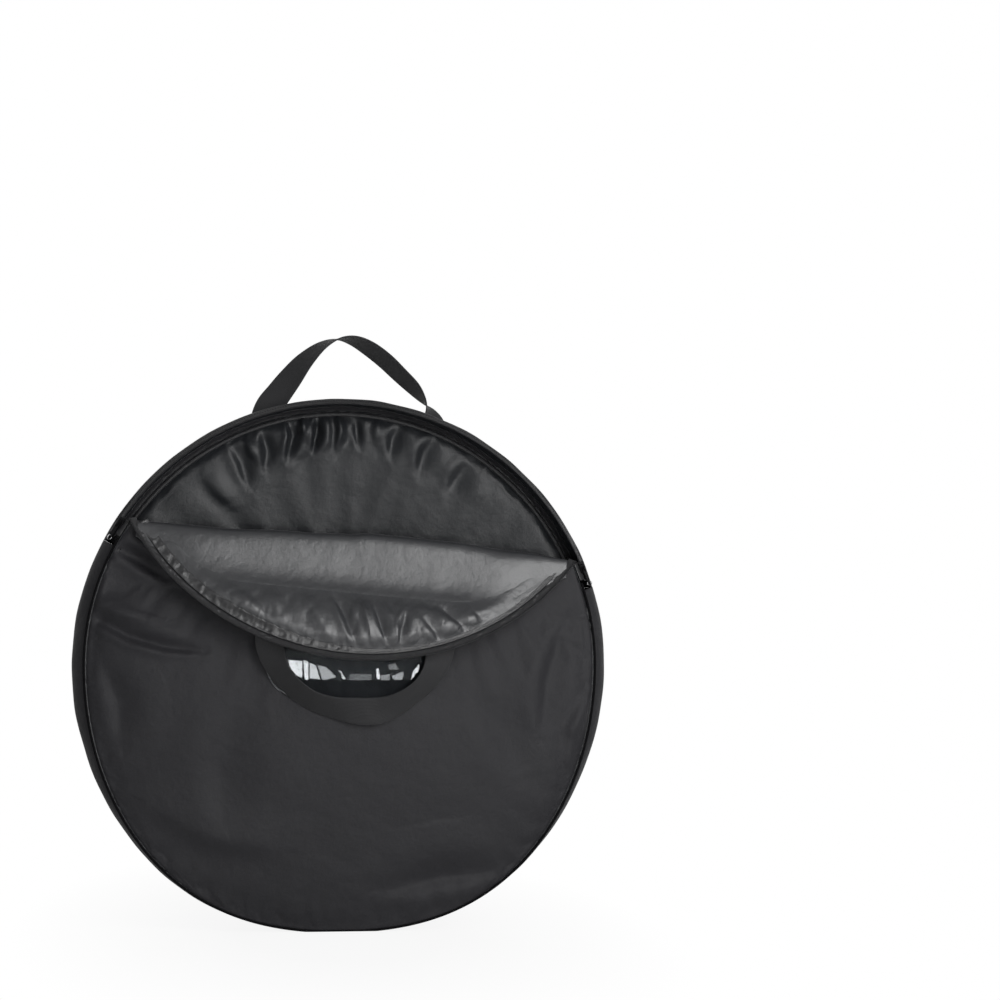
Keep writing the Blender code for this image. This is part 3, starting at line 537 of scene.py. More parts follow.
# A crease is strongest in its middle, steep on one side and soft on the other, and a little cloth gathers
# beside it.
def creaseHeight(x, z, creases):
    total = 0.0
    for width, height, *points in creases:
        best = None
        run = 0.0
        for (x0, z0), (x1, z1) in zip(points, points[1:]):
            dx, dz = x1 - x0, z1 - z0
            length = hypot(dx, dz)
            share = ((x - x0) * dx + (z - z0) * dz) / (length * length)
            held = min(max(share, 0.0), 1.0)
            gap = hypot(x - x0 - held * dx, z - z0 - held * dz)
            if best is None or gap < best[0]:
                side = 1.0 if (x - x0) * dz - (z - z0) * dx > 0 else -1.0
                best = (gap, side, run + held * length)
            run += length
        gap, side, place = best
        if gap > 5 * width:
            continue
        strength = sin(pi * min(max(place / run, 0.04), 0.96)) ** 0.7
        spread = width * (0.75 if side > 0 else 1.5) * (0.6 + 0.4 * strength)
        valley = exp(-((gap / spread) ** 2))
        ridge = exp(-(((gap - 2.0 * spread) / (1.3 * spread)) ** 2))
        total += height * strength * (valley - 0.4 * ridge)
    return total


photo = {"middle": (340, 665), "pixel": 0.00141}  # where the front view has the bag's middle, and a pixel's size


def fromPixel(x, y):
    x0, y0 = photo["middle"]
    return (x - x0) * photo["pixel"], bag["centreHeight"] + (y0 - y) * photo["pixel"]


# Turns the pixels of the front view, which end each row, into places (x, z)
def onPhoto(*rows):
    return [[fromPixel(*item) if isinstance(item, tuple) else item for item in row] for row in rows]


def displace(piece, height):
    mesh = piece.data
    normals = [corner.normal.copy() for corner in mesh.vertices]
    for corner, normal in zip(mesh.vertices, normals):
        corner.co += normal * height(corner.co, normal)
    mesh.update()


def makePanel(settings):
    name, drop, keep = settings["name"], settings["drop"], settings["keep"]
    bm = padMesh(settings["count"], drop, settings["seamDepth"], settings["bulge"], settings["side"], keep)
    held = {}
    for corner in bm.verts:
        _, distance = seamGap(corner.co.x, corner.co.z, drop)
        weight = 1.0 - smooth((distance - 0.002) / 0.010)
        if keep:
            weight = max(weight, 1.0 - smooth((abs(corner.co.dot(opening) - foldReach) - 0.062) / 0.050))
        if weight > 0:
            held[corner.index] = weight
    piece = finishPiece(name, bm, ("outer", settings["lining"]), None, ())
    puff(piece, held, settings)
    refine(piece)
    settle(piece)
    return piece


# Side is 1 towards the back and -1 towards the front. Keep is -1 below the fold, 1 above it and 0 for all.
# The back and front pads take the darker lining finish: painted shade for the inside of the bag
backPanel = {
    **padding, "name": "backPanel", "node": "back", "lining": "lining", "fill": 0.5, "count": 100, "side": 1,
    "keep": 0, "drop": bag["backDrop"], "seamDepth": bag["backSeam"], "bulge": backBulge, "pucker": 0.0016,
    "broad": 0.0030,
}
frontPanel = {
    **padding, "name": "frontPanel", "node": "front", "lining": "lining", "fill": 0.5, "count": 124, "side": -1,
    "keep": -1, "drop": bag["frontDrop"], "seamDepth": bag["frontSeam"], "bulge": frontBulge, "pucker": 0.0012,
    "broad": 0.0034, "inner": 0.0020, "seamDent": 0.0026,
}
flapPanel = {
    **padding, "name": "flapPanel", "node": "flap", "lining": "flapLining", "fill": 0.45, "count": 196, "side": -1,
    "keep": 1, "drop": bag["flapDrop"], "seamDepth": bag["frontSeam"], "bulge": flapBulge, "pucker": 0.0024,
    "broad": 0.0030, "grow": 0.004, "bending": 2.5, "belly": 0.009,
}


def seamPucker(angle, distance, size, reach=0.012, pitch=0.012):
    lean = 0.12 * waver(angle * 14.0, 5.0) * distance / 0.02
    run = (angle + lean) * bag["radius"] / pitch
    strength = max(0.18 + 1.1 * waver(angle * 9.0, 7.0), 0.05)
    long = reach * (1.0 + 0.8 * waver(angle * 30.0, 1.0))
    gather = 1.7 * waver(run * 1.5, distance * 20.0, 2.0) + 0.5 * waver(run * 3.2, distance * 30.0, 6.0)
    return size * strength * gather * exp(-(((distance - 0.004) / long) ** 2))


# Folds of the cloth: width, height, and the places that they run along on the front view
backFolds = onPhoto(
    (0.0060, -0.0120, (289, 420), (294, 436), (288, 458)), (0.0050, 0.0080, (303, 418), (304, 436)),
    (0.0050, -0.0130, (318, 416), (318, 432), (314, 450)), (0.0060, 0.0100, (338, 415), (341, 430), (338, 446)),
    (0.0050, -0.0060, (356, 416), (360, 447)), (0.0070, -0.0070, (262, 430), (268, 450), (266, 470)),
    (0.0080, -0.0070, (231, 444), (243, 462), (250, 486)), (0.0060, 0.0050, (247, 440), (256, 460)),
    (0.0080, -0.0060, (400, 425), (394, 440), (392, 456)), (0.0090, -0.0060, (436, 438), (426, 452), (420, 472)),
    (0.0070, 0.0050, (378, 420), (377, 442)), (0.0100, -0.0050, (470, 462), (450, 492)),
    (0.0100, 0.0040, (205, 475), (232, 505)),
)
frontFolds = onPhoto(
    (0.0075, -0.0080, (84, 612), (108, 624), (130, 635), (165, 645), (205, 650)),
    (0.0100, 0.0050, (96, 600), (118, 610), (150, 620)), (0.0085, -0.0075, (112, 545), (138, 560), (165, 578)),
    (0.0080, 0.0045, (128, 540), (150, 552), (172, 570)), (0.0140, -0.0050, (104, 660), (120, 700), (122, 740)),
    (0.0160, -0.0070, (380, 888), (440, 876), (505, 868)), (0.0240, 0.0055, (150, 800), (210, 830), (280, 845)),
    (0.0160, -0.0065, (566, 620), (546, 680), (540, 740)), (0.0110, 0.0050, (590, 690), (570, 730), (566, 770)),
    (0.0260, -0.0055, (470, 700), (500, 730), (520, 775)), (0.0280, -0.0055, (240, 700), (220, 760), (226, 820)),
)
flapFolds = onPhoto(
    (0.0060, -0.0050, (326, 586), (336, 606), (345, 628), (352, 645)),
    (0.0050, -0.0044, (369, 606), (374, 622), (382, 642)), (0.0060, 0.0034, (357, 600), (362, 622), (366, 640)),
    (0.0048, -0.0040, (402, 612), (396, 628), (394, 644)), (0.0060, -0.0040, (416, 618), (428, 630), (436, 642)),
    (0.0075, -0.0044, (405, 596), (434, 606), (456, 624), (464, 640)),
    (0.0055, -0.0030, (545, 588), (506, 620), (470, 644)), (0.0080, 0.0030, (520, 596), (488, 620), (462, 640)),
    (0.0120, -0.0026, (452, 572), (444, 598), (438, 618)), (0.0140, 0.0026, (388, 572), (392, 596), (398, 612)),
    (0.0090, 0.0030, (300, 596), (316, 622), (326, 640)), (0.0090, -0.0034, (150, 536), (190, 572), (235, 602)),
    (0.0110, -0.0030, (225, 570), (256, 600), (275, 622)), (0.0120, -0.0026, (270, 560), (282, 596), (292, 626)),
    (0.0140, -0.0022, (490, 560), (500, 590), (498, 610)), (0.0060, -0.0024, (570, 574), (556, 590)),
)

def backHeight(place, normal):
    angle, distance = seamGap(place.x, place.z - bag["centreHeight"], bag["backDrop"])
    total = seamPucker(angle, distance, backPanel["pucker"])
    if normal.y < 0:  # the lining side, seen through the mouth
        total += creaseHeight(place.x, place.z, backFolds) * smooth(distance / 0.012)
        total += backPanel["broad"] * waver(angle * 8.0, distance * 8.0, 4.0) * smooth(distance / 0.02)
    return total


def frontHeight(place, normal):
    angle, distance = seamGap(place.x, place.z - bag["centreHeight"], bag["frontDrop"])
    side = smooth((abs(cos(angle)) - 0.3) / 0.5)
    total = seamPucker(angle, distance, frontPanel["pucker"] * (0.5 + 0.5 * side))
    calm = smooth((foldReach - (place - centre).dot(opening) - 0.006) / 0.05)  # thin beside the fold
    if normal.y < 0:
        total -= frontPanel["seamDent"] * exp(-((distance / 0.0035) ** 2)) * side
        total += creaseHeight(place.x, place.z, frontFolds) * smooth(distance / 0.01)
        total += frontPanel["broad"] * waver(place.x * 6.0, place.z * 7.0, 1.0) * smooth(distance / 0.03) * calm
    else:
        total -= creaseHeight(place.x, place.z, frontFolds) * smooth(distance / 0.01)
        total += frontPanel["inner"] * waver(place.x * 14.0, place.z * 14.0, 3.0) * smooth(distance / 0.03) * calm
    return total


def flapHeight(place, normal):
    closed = flapClosed @ place
    angle, distance = seamGap(closed.x, closed.z, bag["flapDrop"])
    foldGap = closed.dot(opening) - foldReach
    fade = smooth(distance / 0.01) * smooth((foldGap - 0.084) / 0.035)
    total = seamPucker(angle, distance, flapPanel["pucker"], 0.016, 0.014)
    if normal.y < 0:  # the lining side, which is seen at rest
        total += creaseHeight(place.x, place.z, flapFolds) * fade
        total += flapPanel["broad"] * waver(place.x * 8.0, place.z * 9.0, 8.0) * fade
        total += flapPanel["belly"] * smooth((foldGap - 0.066) / 0.060) * smooth(distance / 0.022)
    return total


# The displacements use world places, so the mesh moves there first
def buildPanel(settings, place, height, body):
    piece = makePanel(settings)
    piece.data.transform(place)
    displace(piece, height)
    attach(piece, body)
    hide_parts(*[settings["node"] + part for part in ("_outer_fabric", "_foam", "_lining")])
    print(settings["name"], "made")
    return piece


panels = {
    "back": buildPanel(backPanel, toWorld, backHeight, "bag"),
    "front": buildPanel(frontPanel, toWorld, frontHeight, "bag"),
    "flap": buildPanel(flapPanel, flapRest, flapHeight, "flap"),
}


# The fold: lining that runs over from the bag to the flap, and the outer cloth in the crease
# Runs are the lining's lengths down the bag, down the flap and under the flap's own lining. Flat and area are its
# size as it was cut, and over holds the shares of it that end on the bag and on the flap.
fold = {
    "flat": (0.615, 0.128), "area": 0.068, "bagRun": 0.016, "flapRun": 0.078, "tail": 0.016, "sink": 0.0022,
    "over": (0.28, 0.84), "lining": 0.0006, "spread": 16, "count": 300, "crease": 0.0072,
}
# How high the lining stands over the fold, from the left end to the right
foldTops = (
    (-0.345, -0.0040), (-0.310, -0.0042), (-0.192, -0.0028), (-0.072, 0.0020), (-0.013, 0.0052), (0.022, 0.0090),
    (0.068, 0.0094), (0.133, 0.0086), (0.233, 0.0036), (0.345, -0.0036),
)


def panelTree(piece):
    mesh = piece.data
    mesh.calc_loop_triangles()
    corners = [corner.co.copy() for corner in mesh.vertices]
    return BVHTree.FromPolygons(corners, [tuple(face.vertices) for face in mesh.loop_triangles])


# Lays something on a finished panel: from a place, along a direction, to a height above the cloth
def landOn(tree, place, direction, height):
    hit = tree.ray_cast(place - direction * 0.05, direction)[0]
    return (hit if hit else place) - direction * height


def foldTop(x):
    for (x0, z0), (x1, z1) in zip(foldTops, foldTops[1:]):
        if x <= x1:
            return mix(z0, z1, smooth((x - x0) / (x1 - x0))) + 0.0005 * waver(x * 14.0, 3.0)
    return foldTops[-1][1]


def evened(places, spread):  # a running mean along a row of places
    result = []
    for number in range(len(places)):
        near = places[max(number - spread, 0) : number + spread + 1]
        result.append(sum(near, Vector()) / len(near))
    return [Vector((old.x, new.y, new.z)) for old, new in zip(places, result)]


def bezier(points, share):
    a, b, c, d = points
    left = 1 - share
    return a * left**3 + b * (3 * left * left * share) + c * (3 * left * share * share) + d * share**3


def buildFold():
    seam = bag["radius"] - bag["flapDrop"]
    half = sqrt(seam**2 - foldReach**2) + 0.001
    turn = bag["foldTurn"]
    place = toWorld @ foldFrame
    inverse = place.inverted()
    trees = {"flap": panelTree(panels["flap"]), "bag": panelTree(panels["front"])}
    down = Vector((0.0, -sin(turn), cos(turn)))  # along the flap, in the fold's own frame
    faces = {"flap": Vector((0.0, cos(turn), sin(turn))), "bag": Vector((0.0, 1.0, 0.0))}
    count = fold["count"]

    def landed(key, local):
        outward = faces[key]
        hit = trees[key].ray_cast(place @ (local + outward * 0.03), (place.to_3x3() @ -outward).normalized())[0]
        return inverse @ hit if hit is not None else local + outward * 0.0016

    # Where the lining leaves the bag's lining, where it meets the flap's, and a place a little further on
    rows = {"low": [], "landing": [], "beyond": []}
    runs = []
    for number in range(count + 1):
        x = mix(-half, half, number / count)
        room = sqrt(max(seam**2 - x * x, 0.0)) - foldReach - 0.0015
        flapRun = min(max(room * 0.92, 0.0005), fold["flapRun"])
        bagRun = fold["bagRun"] * (0.2 + 0.8 * smooth((half - abs(x)) / 0.03))
        runs.append(flapRun)
        rows["low"].append(landed("bag", Vector((x, 0.0, -bagRun))) + faces["bag"] * 0.0002)
        for key, run in (("landing", flapRun), ("beyond", flapRun + 0.008)):
            rows[key].append(landed("flap", Vector((x, 0.0, 0.0)) + down * run) + faces["flap"] * 0.0003)
    rows = {key: evened(evened(places, fold["spread"]), fold["spread"]) for key, places in rows.items()}

    # Across the fold: up the bag's lining, over the top, and in a round down to the flap's lining
    def section(number):
        low, landing, beyond = [rows[key][number] for key in ("low", "landing", "beyond")]
        top = Vector((low.x, 0.0, foldTop(low.x)))
        rise = (top - low).length
        inner = (low, low + upwards * rise * 0.5, top + backwards * rise * 0.35, top)
        away = (beyond - landing).normalized()
        fall = (landing - top).length
        outer = (top, top - backwards * fall * 0.34, landing - away * fall * 0.45, landing)
        tail = fold["tail"] * runs[number] / fold["flapRun"]
        return inner, outer, landing, away, tail

    sections = [section(number) for number in range(count + 1)]
    total = fold["bagRun"] + fold["flapRun"] + fold["tail"] + 0.016

    def liningPlace(along, over):
        inner, outer, landing, away, tail = sections[round(along * count)]
        top, end = fold["over"]
        if over < top:
            local = bezier(inner, over / top)
        elif over < end:
            local = bezier(outer, (over - top) / (end - top))
        else:
            share = (over - end) / (1 - end)
            local = landing + away * (share * tail) - faces["flap"] * (fold["sink"] * share * share)
        return place @ local

    bm = strip(count, 64, 2 * half, total, liningPlace)
    faceOut(bm, lambda place: place - foldPlace)
    lining = finishPiece("foldLining", bm, ("flapLining",), None, ("fold_roll",), False)
    addShell(lining, fold["lining"])
    settle(lining)
    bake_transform(lining)

    def creasePlace(along, over):
        x = mix(-half, half, along)
        run = fold["crease"] * (2 * over - 1)
        if over < 0.5:
            local = Vector((x, 0.0002, run))
        else:
            local = Vector((x, 0.0002 * cos(turn) - run * sin(turn), run * cos(turn)))
        return place @ (local + upwards * min(foldTop(x) - 0.0012, 0.0))

    bm = strip(120, 8, 2 * half, 2 * fold["crease"], creasePlace)
    crease = finishPiece("foldCrease", bm, ("outer",), None, (), False)
    addShell(crease, 0.0003, 0.0)
    settle(crease)
    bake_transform(crease)


buildFold()
print("fold made")


# The band round the edge
band = {
    "thickness": 0.0010, "lining": 0.0006, "under": 0.0016, "pucker": 0.0018, "pitch": 0.0125, "seamDent": 0.0024,
    "upperFront": -0.0095,
}


def bandPlace(angle, depth, pucker, turnIn):
    drop = crownDrop(depth)
    distance = min(depth + bag["frontSeam"], bag["backSeam"] - depth)
    run = angle * bag["radius"] / band["pitch"]
    wave = 1.6 * waver(run * 1.5, distance * 30.0, 1.0) + 0.5 * waver(run * 3.1, distance * 60.0, 4.0)
    bottom = 1.0 - smooth((-sin(angle) - 0.75) / 0.2)
    strength = max(0.45 + 0.9 * waver(angle * 8.0, 4.0), 0.1) * bottom
    dent = pucker * strength * wave * exp(-((distance / 0.009) ** 2))
    seamDent = turnIn * exp(-((distance / 0.0022) ** 2)) * bottom
    broad = 0.0012 * waver(angle * 8.0, depth * 40.0, 2.0) * bottom * smooth(distance / 0.01)
    return rimPoint(angle, depth, drop, -dent - broad + seamDent)


def buildBand():
    under = (leftOf(bandHalf), rightOf(bandHalf) + 2 * pi)
    over = (rightOf(bandHalf) + 0.0006, leftOf(bandHalf) - 0.0006)
    low = -(bag["frontSeam"] - 0.0008)
    high = bag["backSeam"] - 0.0008
    parts = (
        ("lower", under, low, low + 0.006, 520, 18),
        ("upper", over, band["upperFront"], band["upperFront"] + 0.001, 300, 12),
    )
    for name, (start, end), front, liningFront, count, slices in parts:

        def outerPlace(along, sideways):
            depth = mix(front, high, sideways)
            return toWorld @ bandPlace(mix(start, end, along), depth, band["pucker"], band["seamDent"])

        def liningPlace(along, sideways):
            angle = mix(start, end, along)
            depth = mix(liningFront, high - 0.006, sideways)
            place = bandPlace(angle, depth, band["pucker"] * 0.5, 0.0)
            inwards = Vector((place.x, 0.0, place.z)).normalized()
            ripple = 0.0009 * waver(angle * 30.0, depth * 30.0, 5.0)
            return toWorld @ (place - inwards * (band["under"] + band["thickness"] * 0.4 + max(ripple, -0.0004)))

        length = (end - start) * bag["radius"]
        bm = strip(count, slices, length, high - front, outerPlace)
        faceOut(bm, lambda place: place - centre)
        # Its cloth is the darker edge finish: painted shade
        piece = finishPiece(name + "Band", bm, ("edge",), "bag", (name + "_edge_band",), False)
        addShell(piece, band["thickness"])
        # The band's lining takes the darker lining finish too: painted shade inside the bag
        bm = strip(count // 2, slices, length, high - front, liningPlace)
        faceOut(bm, lambda place: place - centre)
        lining = finishPiece(name + "BandLining", bm, ("lining",), "bag", (name + "_band_lining",), False)
        addShell(lining, band["lining"])


buildBand()
print("band made")


# Tapes, coils and stitches of the zip
zipParts = {
    "coil": 0.0015, "gap": 0.0022, "wire": 0.00036, "pitch": 0.00135, "turnSteps": 7, "tape": 0.0007,
    "pucker": 0.0014, "underCoil": 0.0008, "slot": 0.0018, "edge": -0.0092, "stitch": (0.0024, 0.0005, 0.0004),
    "stitchPitch": 0.0038, "stitchEnd": 0.01,
}
slope = 2 * bag["frontDrop"] * bag["zipDepth"] / bag["frontSeam"] ** 2
slopeLength = hypot(slope, 1.0)
alongTape = (slope / slopeLength, -1.0 / slopeLength)  # (drop, depth) across the zip, towards the flap
outOfTape = (-1.0 / slopeLength, -slope / slopeLength)
zipDrop = crownDrop(-bag["zipDepth"]) - outOfTape[0] * bag["tape"] / 2
zipMiddle = -bag["zipDepth"] - outOfTape[1] * bag["tape"] / 2


def besideZip(along, outward=0.0):
    drop = zipDrop + alongTape[0] * along + outOfTape[0] * outward
    return drop, zipMiddle + alongTape[1] * along + outOfTape[1] * outward


coilOffset = zipParts["gap"] / 2 + zipParts["coil"]
tapeOffset = coilOffset + zipParts["coil"]


def shaped(place, onFlap):
    return toWorld @ (flapTurn @ place if onFlap else place)


def widthOf(places):
    return sum(hypot(b[0] - a[0], b[1] - a[1]) for a, b in zip(places, places[1:]))


# A place across a tape that runs over places across the rim, each (drop, depth)
def acrossTape(places, share):
    run = share * widthOf(places)
    for first, last in zip(places, places[1:]):
        width = widthOf((first, last))
        if run <= width or last is places[-1]:
            return mix(first[0], last[0], run / width), mix(first[1], last[1], run / width)
        run -= width


# A tape over places across the rim, puckered by its seam
def buildTape(name, places, start, end, onFlap, body, nodes, pucker):
    width = widthOf(places)
    length = (end - start) * bag["radius"]
    first, last = places[0], places[-1]
    normal = Vector((-(last[1] - first[1]), last[0] - first[0], 0.0)).normalized()

    def place(along, sideways):
        angle = mix(start, end, along)
        ends = smooth(min(along, 1 - along) * length / 0.02)
        run = angle * bag["radius"] / 0.0085
        gather = 1.3 * waver(run, sideways * 1.2, 6.0) + 0.5 * waver(run * 2.2, sideways * 2.0, 9.0)
        ripple = pucker * ends * gather * sin(pi * min(sideways * 1.1, 1.0)) * smooth((sideways - 0.45) / 0.3)
        drop, depth = acrossTape(places, sideways)
        return shaped(rimPoint(angle, depth + normal.y * ripple, drop + normal.x * ripple), onFlap)

    bm = strip(max(8, int(length / 0.0016)), max(4, int(width / 0.0009)), length, width, place)
    middle = shaped(Vector((0.0, 0.0, 0.0)), onFlap)
    faceOut(bm, lambda where: where - middle)
    addShell(finishPiece(name, bm, ("tape",), body, nodes, False), zipParts["tape"])


# The coil is one wire wound round a line, as on a nylon zip
def buildCoil(name, offset, start, end, onFlap, body, nodes):
    turns = int((end - start) * bag["radius"] / zipParts["pitch"])
    steps = zipParts["turnSteps"]
    curve = bpy.data.curves.new(name, "CURVE")
    curve.dimensions = "3D"
    curve.bevel_depth = zipParts["wire"]
    curve.bevel_resolution = 0
    curve.use_fill_caps = True
    line = curve.splines.new("POLY")
    line.points.add(turns * steps)
    reach = zipParts["coil"] - zipParts["wire"]
    for number in range(turns * steps + 1):
        angle = mix(start, end, number / (turns * steps))
        turn = 2 * pi * number / steps
        drop, depth = besideZip(offset + reach * cos(turn), reach * 0.8 * sin(turn))
        line.points[number].co = (*shaped(rimPoint(angle, depth, drop), onFlap), 1.0)
    holder = newObject(name + "Curve", curve)
    bpy.context.view_layer.update()
    mesh = bpy.data.meshes.new_from_object(holder.evaluated_get(bpy.context.evaluated_depsgraph_get()))
    bpy.data.objects.remove(holder)
    bm = bmesh.new()
    bm.from_mesh(mesh)
    bpy.data.meshes.remove(mesh)
    finishPiece(name, bm, ("nylon",), body, nodes)


# One stitch from a place towards the next, narrower at its top where taper is below 1
def addStitch(bm, here, there, outward, size, taper=1.0):
    forward = (there - here).normalized()
    over = outward.cross(forward).normalized()
    turn = Matrix((forward, over, forward.cross(over))).transposed().to_4x4()
    made = bmesh.ops.create_cube(bm, size=1.0)["verts"]
    for corner in made:
        if corner.co.z > 0:
            corner.co.x *= taper
    bmesh.ops.scale(bm, vec=size, verts=made)
    bmesh.ops.transform(bm, matrix=Matrix.Translation(here) @ turn, verts=made)


def rimStitches(name, drop, depth, half, onFlap, body, lift=0.0004):
    start, end = rightOf(half) + zipParts["stitchEnd"], leftOf(half) - zipParts["stitchEnd"]
    count = int((end - start) * bag["radius"] / zipParts["stitchPitch"])
    places = []
    for number in range(count + 1):
        angle = mix(start, end, number / count)
        outer = shaped(rimPoint(angle, depth + outOfTape[1] * lift, drop + outOfTape[0] * lift), onFlap)
        places.append((outer, outer - shaped(rimPoint(angle, depth, drop), onFlap)))
    bm = bmesh.new()
    for (here, outward), (there, _) in zip(places, places[1:]):
        addStitch(bm, here, there, outward.normalized(), zipParts["stitch"], 0.6)
    finishPiece(name, bm, ("thread",), body, ())


def buildZip():
    edge = (crownDrop(zipParts["edge"]), zipParts["edge"])
    coilEdge = besideZip(-tapeOffset + zipParts["underCoil"], bag["tape"] / 2)
    start, end = rightOf(tailHalf), leftOf(tailHalf)
    buildTape("rimTape", (edge, coilEdge), start, end, False, "bag", ("rim_zip_tape",), zipParts["pucker"] * 0.8)
    buildCoil("rimCoil", -coilOffset, start, end, False, "bag", ("rim_zip_coil",))
    flapHalf = acos((foldReach + 0.0045) / (bag["radius"] - besideZip(coilOffset)[0]))
    seamEdge = (bag["flapDrop"] - 0.0030, -(bag["frontSeam"] + 0.0003))
    first = besideZip(tapeOffset - zipParts["underCoil"], bag["tape"] / 2)
    # It stays in line with the zip until it is out of the slider's slot
    bend = besideZip(tapeOffset + zipParts["slot"], bag["tape"] / 2)
    flapPlaces = (first, bend, seamEdge)
    start, end = rightOf(flapHalf), leftOf(flapHalf)
    buildTape("flapTape", flapPlaces, start, end, True, "flap", ("flap_zip_tape",), zipParts["pucker"] * 1.5)
    buildCoil("flapCoil", coilOffset, start, end, True, "flap", ("flap_zip_coil",))
    last = (bag["frontDrop"] - 0.0003, -(bag["frontSeam"] - 0.0005))
    tailFrom = acos((foldReach - 0.0064) / (bag["radius"] - bag["frontDrop"]))
    for name, side in (("left", 1), ("right", -1)):
        ends = sorted((bag["openingAngle"] + side * tailFrom, bag["openingAngle"] + side * tailHalf))
        buildTape(name + "TailTape", (first, last), *ends, False, "bag", (name + "_tail_tape",), 0.0002)
        buildCoil(name + "TailCoil", coilOffset, *ends, False, "bag", (name + "_tail_coil",))
    rimStitches("rimStitches", *acrossTape((edge, coilEdge), 0.35), tailHalf, False, "bag")
    for number, share in enumerate((0.45, 0.82)):
        rimStitches(f"flapStitches{number}", *acrossTape(flapPlaces, share), flapHalf, True, "flap", 0.0008)


buildZip()
print("zip made")


# On the flap the lining's raw edge is covered by a gathered tape, wider on the left
seamTape = {"narrow": 0.0034, "wide": 0.0105, "over": 0.0022, "lift": 0.0007, "pucker": 0.0016, "pitch": 0.0105}


def buildSeamTape():
    tree = panelTree(panels["flap"])
    inwards = (flapRest.to_3x3() @ -backwards).normalized()
    half = acos((foldReach + 0.007) / (bag["radius"] - bag["flapDrop"]))
    start, end = rightOf(half), leftOf(half)

    def place(along, sideways):
        angle = mix(start, end, along)
        left = smooth((angle - bag["openingAngle"] + 0.25) / 0.6)
        width = mix(seamTape["narrow"], seamTape["wide"], left) * (1 + 0.16 * waver(angle * 26.0, 4.0))
        distance = mix(-seamTape["over"], width, sideways)
        radius = seamRadius(angle, bag["flapDrop"]) - distance
        run = angle * bag["radius"] / seamTape["pitch"]
        gather = 1.5 * waver(run, sideways * 1.1, 8.0) + 0.6 * waver(run * 2.3, sideways * 2.0, 3.0)
        lift = seamTape["pucker"] * (0.3 + 0.7 * left) * max(gather, -0.35) * sin(pi * min(sideways, 1.0)) ** 0.7
        depth = -(bag["frontSeam"] - padding["edge"] * padding["share"]) + seamTape["lift"]
        flat = flapRest @ Vector((radius * cos(angle), depth, radius * sin(angle)))
        hit = tree.ray_cast(flat - inwards * 0.02, inwards)[0]
        if hit is not None and distance > 0:
            flat = flat.lerp(hit - inwards * seamTape["lift"], smooth(distance / 0.0015))
        return flat - inwards * (lift + 0.0004)

    length = (end - start) * bag["radius"]
    bm = strip(int(length / 0.0014), 8, length, 0.008, place)
    faceOut(bm, lambda where: -inwards)
    addShell(finishPiece("flapSeamTape", bm, ("tape",), "flap", (), False), 0.0005)


buildSeamTape()
print("seam tape made")


# Bindings and piping: folded tape over the raw edges of the seams, and a near-black cord that paints the shadow in
# the front seam's groove
binding = {"inner": (0.0068, 0.0030), "cord": (0.0034, 0.0026), "piping": (0.0034, 0.0034), "inset": 0.0072}


def buildBinding(name, ends, drop, depth, inset, onFlap, body, nodes, size, look="binding"):
    start, end = ends
    length = (end - start) * bag["radius"]

    def place(along, share):
        angle = mix(start, end, along)
        turn = 2 * pi * share
        flat = size[0] / 2 * cos(turn)
        high = size[1] / 2 * sin(turn) * (1 + 0.15 * waver(angle * 90.0, 3.0))
        return shaped(rimPoint(angle, depth + high, drop, inset + flat), onFlap)

    bm = strip(max(40, int(length / 0.004)), 12, length, 2.2 * size[0], place)
    bmesh.ops.remove_doubles(bm, verts=bm.verts, dist=0.00001)
    bmesh.ops.holes_fill(bm, edges=[edge for edge in bm.edges if edge.is_boundary], sides=0)
    finishPiece(name, bm, (look,), body, nodes)


def buildBindings():
    low, high = leftOf(bandHalf), rightOf(bandHalf) + 2 * pi
    front, back, flap = bag["frontDrop"], bag["backDrop"], bag["flapDrop"] - 0.0015
    half = acos((foldReach + 0.0064) / (bag["radius"] - flap))
    buildBinding("frontSeamBinding", (low, high), front, -0.0235, binding["inset"], False, "bag",
                 ("front_seam_binding",), binding["inner"])
    buildBinding("backSeamBinding", (-pi / 2, 3 * pi / 2 - 0.004), back, 0.0262, binding["inset"], False, "bag",
                 ("back_seam_binding",), binding["inner"])
    # Painted shade: a near-black cord sunk in the front seam stands in for the shadow of its groove
    buildBinding("seamShadowCord", (low - 0.03, high + 0.03), front, -(bag["frontSeam"] + 0.0008), -0.0002, False,
                 "bag", (), binding["cord"], "seam")
    buildBinding("flapPiping", (rightOf(half), leftOf(half)), flap, -(bag["frontSeam"] - 0.0005), 0.0, True, "flap",
                 ("flap_edge_piping",), binding["piping"])


buildBindings()
print("bindings made")


# Webbing handles
strap = {
    "width": 0.040, "thickness": 0.0020, "endGap": 0.0006, "sewn": 0.034, "height": 0.0016, "loopRows": 150,
    "endRows": 14, "columns": 11, "cup": 0.0006, "bevel": 0.0006, "stitchSpacing": 0.0034,
    "stitch": (0.0023, 0.0006, 0.0005), "stitchHeight": 0.0028,
}
# Angle as seen from the front, the sewn ends' places, the loop's half span and rise, and its hinge
backHandle = {
    "angle": radians(87.3), "offset": 0.0, "half": 0.122, "reach": 0.320, "rise": 0.142, "hingeDepth": 0.036052,
    "stand": -0.0016,
}
flapHandle = {
    "angle": bag["openingAngle"], "offset": 0.012, "half": 0.120, "reach": 0.306, "rise": 0.120,
    "hinge": (0.017856, -0.075725, 0.431236), "stand": 0.0,
}
